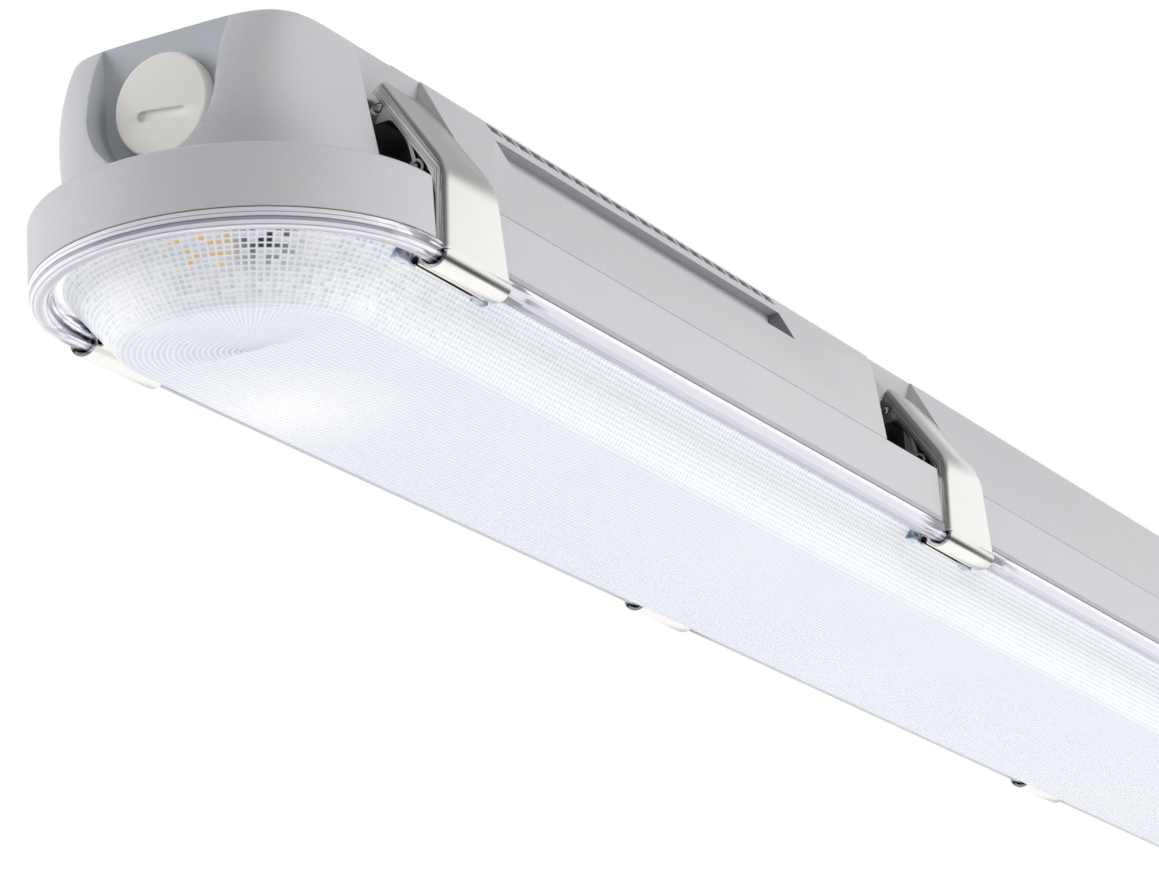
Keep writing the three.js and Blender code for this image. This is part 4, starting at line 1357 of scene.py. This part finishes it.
def lever_mesh():
    """Sheet with two folded flanges and the hook, thickened inwards."""
    path, straight_count = lever_profile()
    lengths = [0.0]
    for a, b in zip(path, path[1:]):
        lengths.append(lengths[-1] + (b - a).length)
    bend_at = min(range(straight_count), key=lambda i: (path[i] - Vector(lever_bend)).length)
    bend_length = lengths[bend_at]
    foot_length = lengths[straight_count - 1]
    rows = []
    for i in range(straight_count):
        before = path[max(i - 1, 0)]
        after = path[min(i + 1, len(path) - 1)]
        along = (after - before).normalized()
        inward = Vector((along.y, -along.x))
        half = half_width_at(path[i].y)
        depth = flange_depth(lengths[i], bend_length, foot_length)
        side = [(half, max(depth, lever_fold_radius + flange_least))]
        for turn in spread(0, math.pi / 2, fold_steps):
            x = half - lever_fold_radius * (1 - math.cos(turn))
            side.append((x, lever_fold_radius * (1 - math.sin(turn))))
        row = [(-x, d) for x, d in side] + side[::-1]
        rows.append([(x, *(path[i] + inward * d)) for x, d in row])
    points = [p for row in rows for p in row]
    width = len(rows[0])
    faces = []
    for i in range(len(rows) - 1):
        for k in range(width - 1):
            a = i * width + k
            faces.append((a, a + 1, a + width + 1, a + width))
    last = (len(rows) - 1) * width
    first_flat = fold_steps + 1
    strip = [last + first_flat, last + width - 1 - first_flat]
    for point in path[straight_count:]:
        points.append((-lever_foot_half, point.x, point.y))
        points.append((lever_foot_half, point.x, point.y))
    start = len(rows) * width
    # The strip's first row meets the face where the flanges end
    faces.append((strip[0], strip[1], start + 1, start))
    for i in range(len(path) - straight_count - 1):
        a = start + 2 * i
        faces.append((a, a + 1, a + 3, a + 2))
    obj = new_object("latch_lever", points, faces)
    thick = obj.modifiers.new("sheet", "SOLIDIFY")
    thick.thickness = lever_sheet * MM
    thick.offset = -1.0
    thick.use_even_offset = True
    settle(obj)
    return obj


def rolled_edge():
    """The lever's rolled lower edge: a tube with an open seam."""
    outline = arc(*bead_centre, bead_radius, *bead_turn, small_segments)
    outline += arc(*bead_centre, bead_bore_radius, *bead_turn, small_segments)[::-1]
    return prism("rolled_edge", outline, -lever_foot_half, lever_foot_half)


def pin_bores(pins):
    """Cutters for the holes of several pins."""
    return [prism("bore", circle(*pin, knuckle_bore, small_segments), -rim_half, rim_half) for pin in pins]


def latch_lever():
    """The lever with its rolled edge and pin holes."""
    obj = lever_mesh()
    combine(obj, [rolled_edge()], "UNION")
    combine(obj, pin_bores([lever_pin]), "DIFFERENCE")
    bevelled(obj, width=0.18, angle=45)
    smooth(obj, angle=35)
    obj.data.materials.append(lever_steel())
    obj.data.materials.append(grained("roll_shadow_steel", roll_shadow_colours, shadow_rough))
    for face in obj.data.polygons:
        offset = Vector(face.center.yz) / MM - Vector(bead_centre)
        if offset.length < bead_bore_reach and abs(face.normal.x) < facing_barely:
            face.material_index = 1
    return obj


def latch_link():
    """Bowed leaf with a knuckle round each pin and a window for the post."""
    start = Vector(housing_pin)
    end = Vector(lever_pin)
    span = end - start
    out = Vector((span.y, -span.x)).normalized()

    def leaf_at(share, offset):
        """Point along the bowed leaf, off its middle."""
        point = start + span * share + out * (link_bow * math.sin(math.pi * share) + offset)
        return (point.x, point.y)

    shares = spread(0, 1, link_steps)
    outline = [leaf_at(share, link_sheet / 2) for share in shares]
    outline += [leaf_at(share, -link_sheet / 2) for share in shares[::-1]]
    leaf = prism("latch_link", outline, -link_half_width, link_half_width)
    pins = (lever_pin, housing_pin)
    knuckles = [
        prism("knuckle", circle(*pin, knuckle_radius, small_segments), -link_half_width, link_half_width)
        for pin in pins
    ]
    combine(leaf, knuckles, "UNION")
    post_gap = post_half_width + running_gap
    reach = post_radius + link_sheet + running_gap
    window = prism("window", circle(*housing_pin, reach * math.sqrt(2), 4), -post_gap, post_gap)
    combine(leaf, [*pin_bores(pins), window], "DIFFERENCE")
    bevelled(leaf, width=0.15, angle=45)
    return smooth(leaf, angle=35)


def latch_pin(pin, half_length):
    """Pin with rounded ends."""
    profile = [
        (0, -half_length), (pin_radius - pin_edge, -half_length), (pin_radius, -half_length + pin_edge),
        (pin_radius, half_length - pin_edge), (pin_radius - pin_edge, half_length), (0, half_length),
    ]
    obj = lathe_x("latch_pin", profile, 0, small_segments)
    obj.data.transform(Matrix.Translation((0, pin[0] * MM, pin[1] * MM)))
    return smooth(obj, angle=40)


def latches():
    """Four pieces at every latch, which share their meshes."""
    kinds = {
        "lever": (latch_lever(), "lever"),
        "link": (latch_link(), "link"),
        "lever_pin": (latch_pin(lever_pin, lever_top_half + pin_end_play), "link"),
        "housing_pin": (latch_pin(housing_pin, link_half_width + pin_end_play), None),
    }
    bright = bright_steel()
    for kind, (first, _body) in kinds.items():
        if kind != "lever":
            first.data.materials.append(bright)
    for side_name, turn in (("front", math.pi), ("back", 0.0)):
        for i, x in enumerate(latch_xs):
            base = f"{side_name}_latch_{i + 1}"
            for kind, (first, body) in kinds.items():
                obj = linked(f"{base}_{kind}_steel", first.data)
                obj.matrix_world = Matrix.Translation((x * MM, 0, 0)) @ Matrix.Rotation(turn, 4, "Z")
                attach(obj, f"{base}_{body}" if body else "root")
                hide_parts(f"{base}_{kind}")
    for first, _body in kinds.values():
        bpy.data.objects.remove(first)


# Plug, gland and inner parts


def blanking_plug():
    """Screwed plug with a groove for its ring and a coin slot in its face."""
    back = -entry_face_x - fit_gap
    front = back - plug_head_height
    groove = back - ring_height - fit_gap
    shank_end = back + plug_shank
    thread_radius = entry_bore_radius - running_gap
    profile = [(0, front)]
    for turn in spread(0, math.pi / 2, fillet_segments):
        r = plug_head_radius - plug_edge + plug_edge * math.sin(turn)
        profile.append((r, front + plug_edge * (1 - math.cos(turn))))
    profile += [
        (plug_head_radius, back), (ring_outer + fit_gap, back), (ring_outer + fit_gap, groove),
        (ring_inner - fit_gap, groove), (ring_inner - fit_gap, back), (thread_radius, back),
        (thread_radius, shank_end), (0, shank_end),
    ]
    body = lathe_x("blanking_plug_moulding", profile, entry_z, plug_segments)
    flat = arc(coin_slot_half, 0, coin_slot_radius, -90, 90, slot_segments)
    flat += arc(-coin_slot_half, 0, coin_slot_radius, 90, 270, slot_segments)
    cos = math.cos(coin_slot_turn)
    sin = math.sin(coin_slot_turn)
    centre_z = entry_z - coin_slot_drop
    outline = [(y * cos - z * sin, centre_z + y * sin + z * cos) for y, z in flat]
    slot = prism("coin_slot", outline, front - overrun, front + coin_slot_depth)
    combine(body, [slot], "DIFFERENCE")
    bevelled(body, width=0.2, angle=50)
    smooth(body, angle=32)
    plastic = grained("plug_off_white_plastic", plug_colours, plug_rough, cloud_scale=60, grain_scale=1500)
    body.data.materials.append(plastic)
    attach(body, "blanking_plug")
    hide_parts("blanking_plug")
    return body


def dress_frame_nodes():
    """Better materials on the nodes whose shape is kept."""
    black = rubber()
    gland = grained("gland_grey_plastic", gland_colours, satin_rough)
    enamel = grained(
        "white_enamelled_steel", enamel_colours, enamel_rough,
        cloud_scale=12, grain_scale=600, bump=(0.2, 0.0002),
    )
    assigned_materials = {
        "gland_body": gland,
        "gland_nut": gland,
        "gland_seal": black,
        "plug_ring": black,
        "gasket": black,
        "gear_tray": enamel,
        "driver": grained("driver_case_plastic", driver_colours, driver_rough),
        "terminal_block": grained("terminal_block_plastic", terminal_colours, satin_rough),
        "led_board": board_material(),
        "tray_screw": bright_steel(),
    }
    for name, node in frame["nodes"].items():
        for start, material in assigned_materials.items():
            if name.startswith(start):
                node.data.materials.clear()
                node.data.materials.append(material)


# Floor, light and camera


def floor():
    """Pale floor far below, which shiny faces don't mirror."""
    half = 3600
    level = -3200
    corners = [(x, y, level) for x, y in rectangle(-half, half, -half, half)]
    obj = new_object("studio_floor", corners, [(0, 1, 2, 3)])
    made = Shader("pale_floor", shade(236, 236, 236), 0.8)
    made.colour(made.mixed(made.noise(scale=3, detail=2), *shades(floor_colours)))
    obj.data.materials.append(made.material)
    obj.visible_glossy = False


def world():
    """White behind the fixture, even light on matt faces, and bright and dark zones in shiny ones."""
    sky_levels = ((0.0, 1.0), (0.39, 1.1), (0.53, 0.42), (1.0, 0.5))
    side_edge = (-0.44, -0.32)
    side_levels = (0.9, 1.15)
    sky_edge = (-0.26, -0.14)
    end_edge = (-0.7, 0.1)
    end_levels = (0.3, 1.0)
    ambient_colour = (0.98, 0.99, 1.0, 1)
    ambient_strength = 0.34
    studio = bpy.data.worlds.new("studio")
    bpy.context.scene.world = studio
    studio.use_nodes = True
    studio.node_tree.nodes.clear()
    made = Nodes(studio.node_tree)

    def background(colour, strength):
        """Even light of one colour."""
        light = made.node("ShaderNodeBackground")
        made.feed(light.inputs["Color"], colour)
        made.feed(light.inputs["Strength"], strength)
        return light.outputs[0]

    def choice(share, first, second):
        """Mix of two lights."""
        mix = made.node("ShaderNodeMixShader")
        for socket, value in zip(mix.inputs, (share, first, second)):
            made.link(value, socket)
        return mix.outputs[0]

    rays = made.node("ShaderNodeLightPath").outputs
    x, y, z = made.axes(made.node("ShaderNodeTexCoord").outputs["Generated"])
    sky = made.ramp(z, [(at, (level, level, level, 1)) for at, level in sky_levels])
    low_zone = made.between(y, *side_edge, *side_levels)
    zones = made.mixed(made.between(z, *sky_edge), low_zone, sky)
    ambient = background(ambient_colour, ambient_strength)
    shine = background(zones, made.between(x, *end_edge, *end_levels))
    bent = made.math("MAXIMUM", rays["Is Glossy Ray"], rays["Is Transmission Ray"])
    seen = choice(rays["Is Camera Ray"], choice(bent, ambient, shine), background((1, 1, 1, 1), 1))
    made.link(seen, made.node("ShaderNodeOutputWorld").inputs["Surface"])


def lamp(name, place, target, size, power, colour=(1, 1, 1)):
    """Soft lamp that shiny and clear faces don't mirror."""
    data = bpy.data.lights.new(name, "AREA")
    data.shape = "RECTANGLE"
    data.size, data.size_y = size
    data.energy = power
    data.color = colour
    obj = linked(name, data)
    obj.location = place
    obj.rotation_mode = "QUATERNION"
    obj.rotation_quaternion = (Vector(target) - Vector(place)).to_track_quat("-Z", "Y")
    obj.visible_glossy = False
    obj.visible_transmission = False


def lamps():
    """Softboxes, placed in metres and lit in watts."""
    near_end = (-0.6, 0, -0.03)
    lamp("side_softbox", (0.1, -1.7, 0.7), (0, 0, -0.03), (2.4, 1.0), 28)
    lamp("far_softbox", (-1.3, 1.3, 0.35), near_end, (1.0, 1.0), 19.5, (0.97, 0.96, 1.0))
    lamp("end_softbox", (-2.4, -0.4, 0.5), near_end, (1.2, 1.2), 2.6)
    lamp("low_softbox", (0.0, -0.2, -1.1), (0, 0, -0.06), (2.6, 0.8), 12.3)
    lamp("floor_softbox", (0.0, 0.0, -1.8), (0, 0, -3), (3, 3), 34)


def camera():
    """The photograph's view, with its numbers found by fitting the camera."""
    place = (-1414.6, -519.0, -420.0)
    turns = (27.38, 18.21, -3.86)
    focal_length = 142.17
    sensor_width = 36
    nearest = 0.05
    farthest = 50
    yaw, pitch, roll = (math.radians(turn) for turn in turns)
    ahead = Vector((math.cos(yaw) * math.cos(pitch), math.sin(yaw) * math.cos(pitch), math.sin(pitch)))
    right = ahead.cross(Vector((0, 0, 1))).normalized()
    up = right.cross(ahead)
    right_rolled = right * math.cos(roll) + up * math.sin(roll)
    up_rolled = up * math.cos(roll) - right * math.sin(roll)
    data = bpy.data.cameras.new("camera")
    data.sensor_fit = "HORIZONTAL"
    data.sensor_width = sensor_width
    data.lens = focal_length
    data.clip_start = nearest
    data.clip_end = farthest
    obj = linked("camera", data)
    obj.location = Vector(place) * MM
    obj.rotation_mode = "QUATERNION"
    obj.rotation_quaternion = Matrix((right_rolled, up_rolled, -ahead)).transposed().to_quaternion()
    bpy.context.scene.camera = obj


bpy.context.scene.view_settings.view_transform = "Standard"
camera()
world()
lamps()
floor()
housing()
diffuser()
hook_lugs()
latches()
blanking_plug()
dress_frame_nodes()
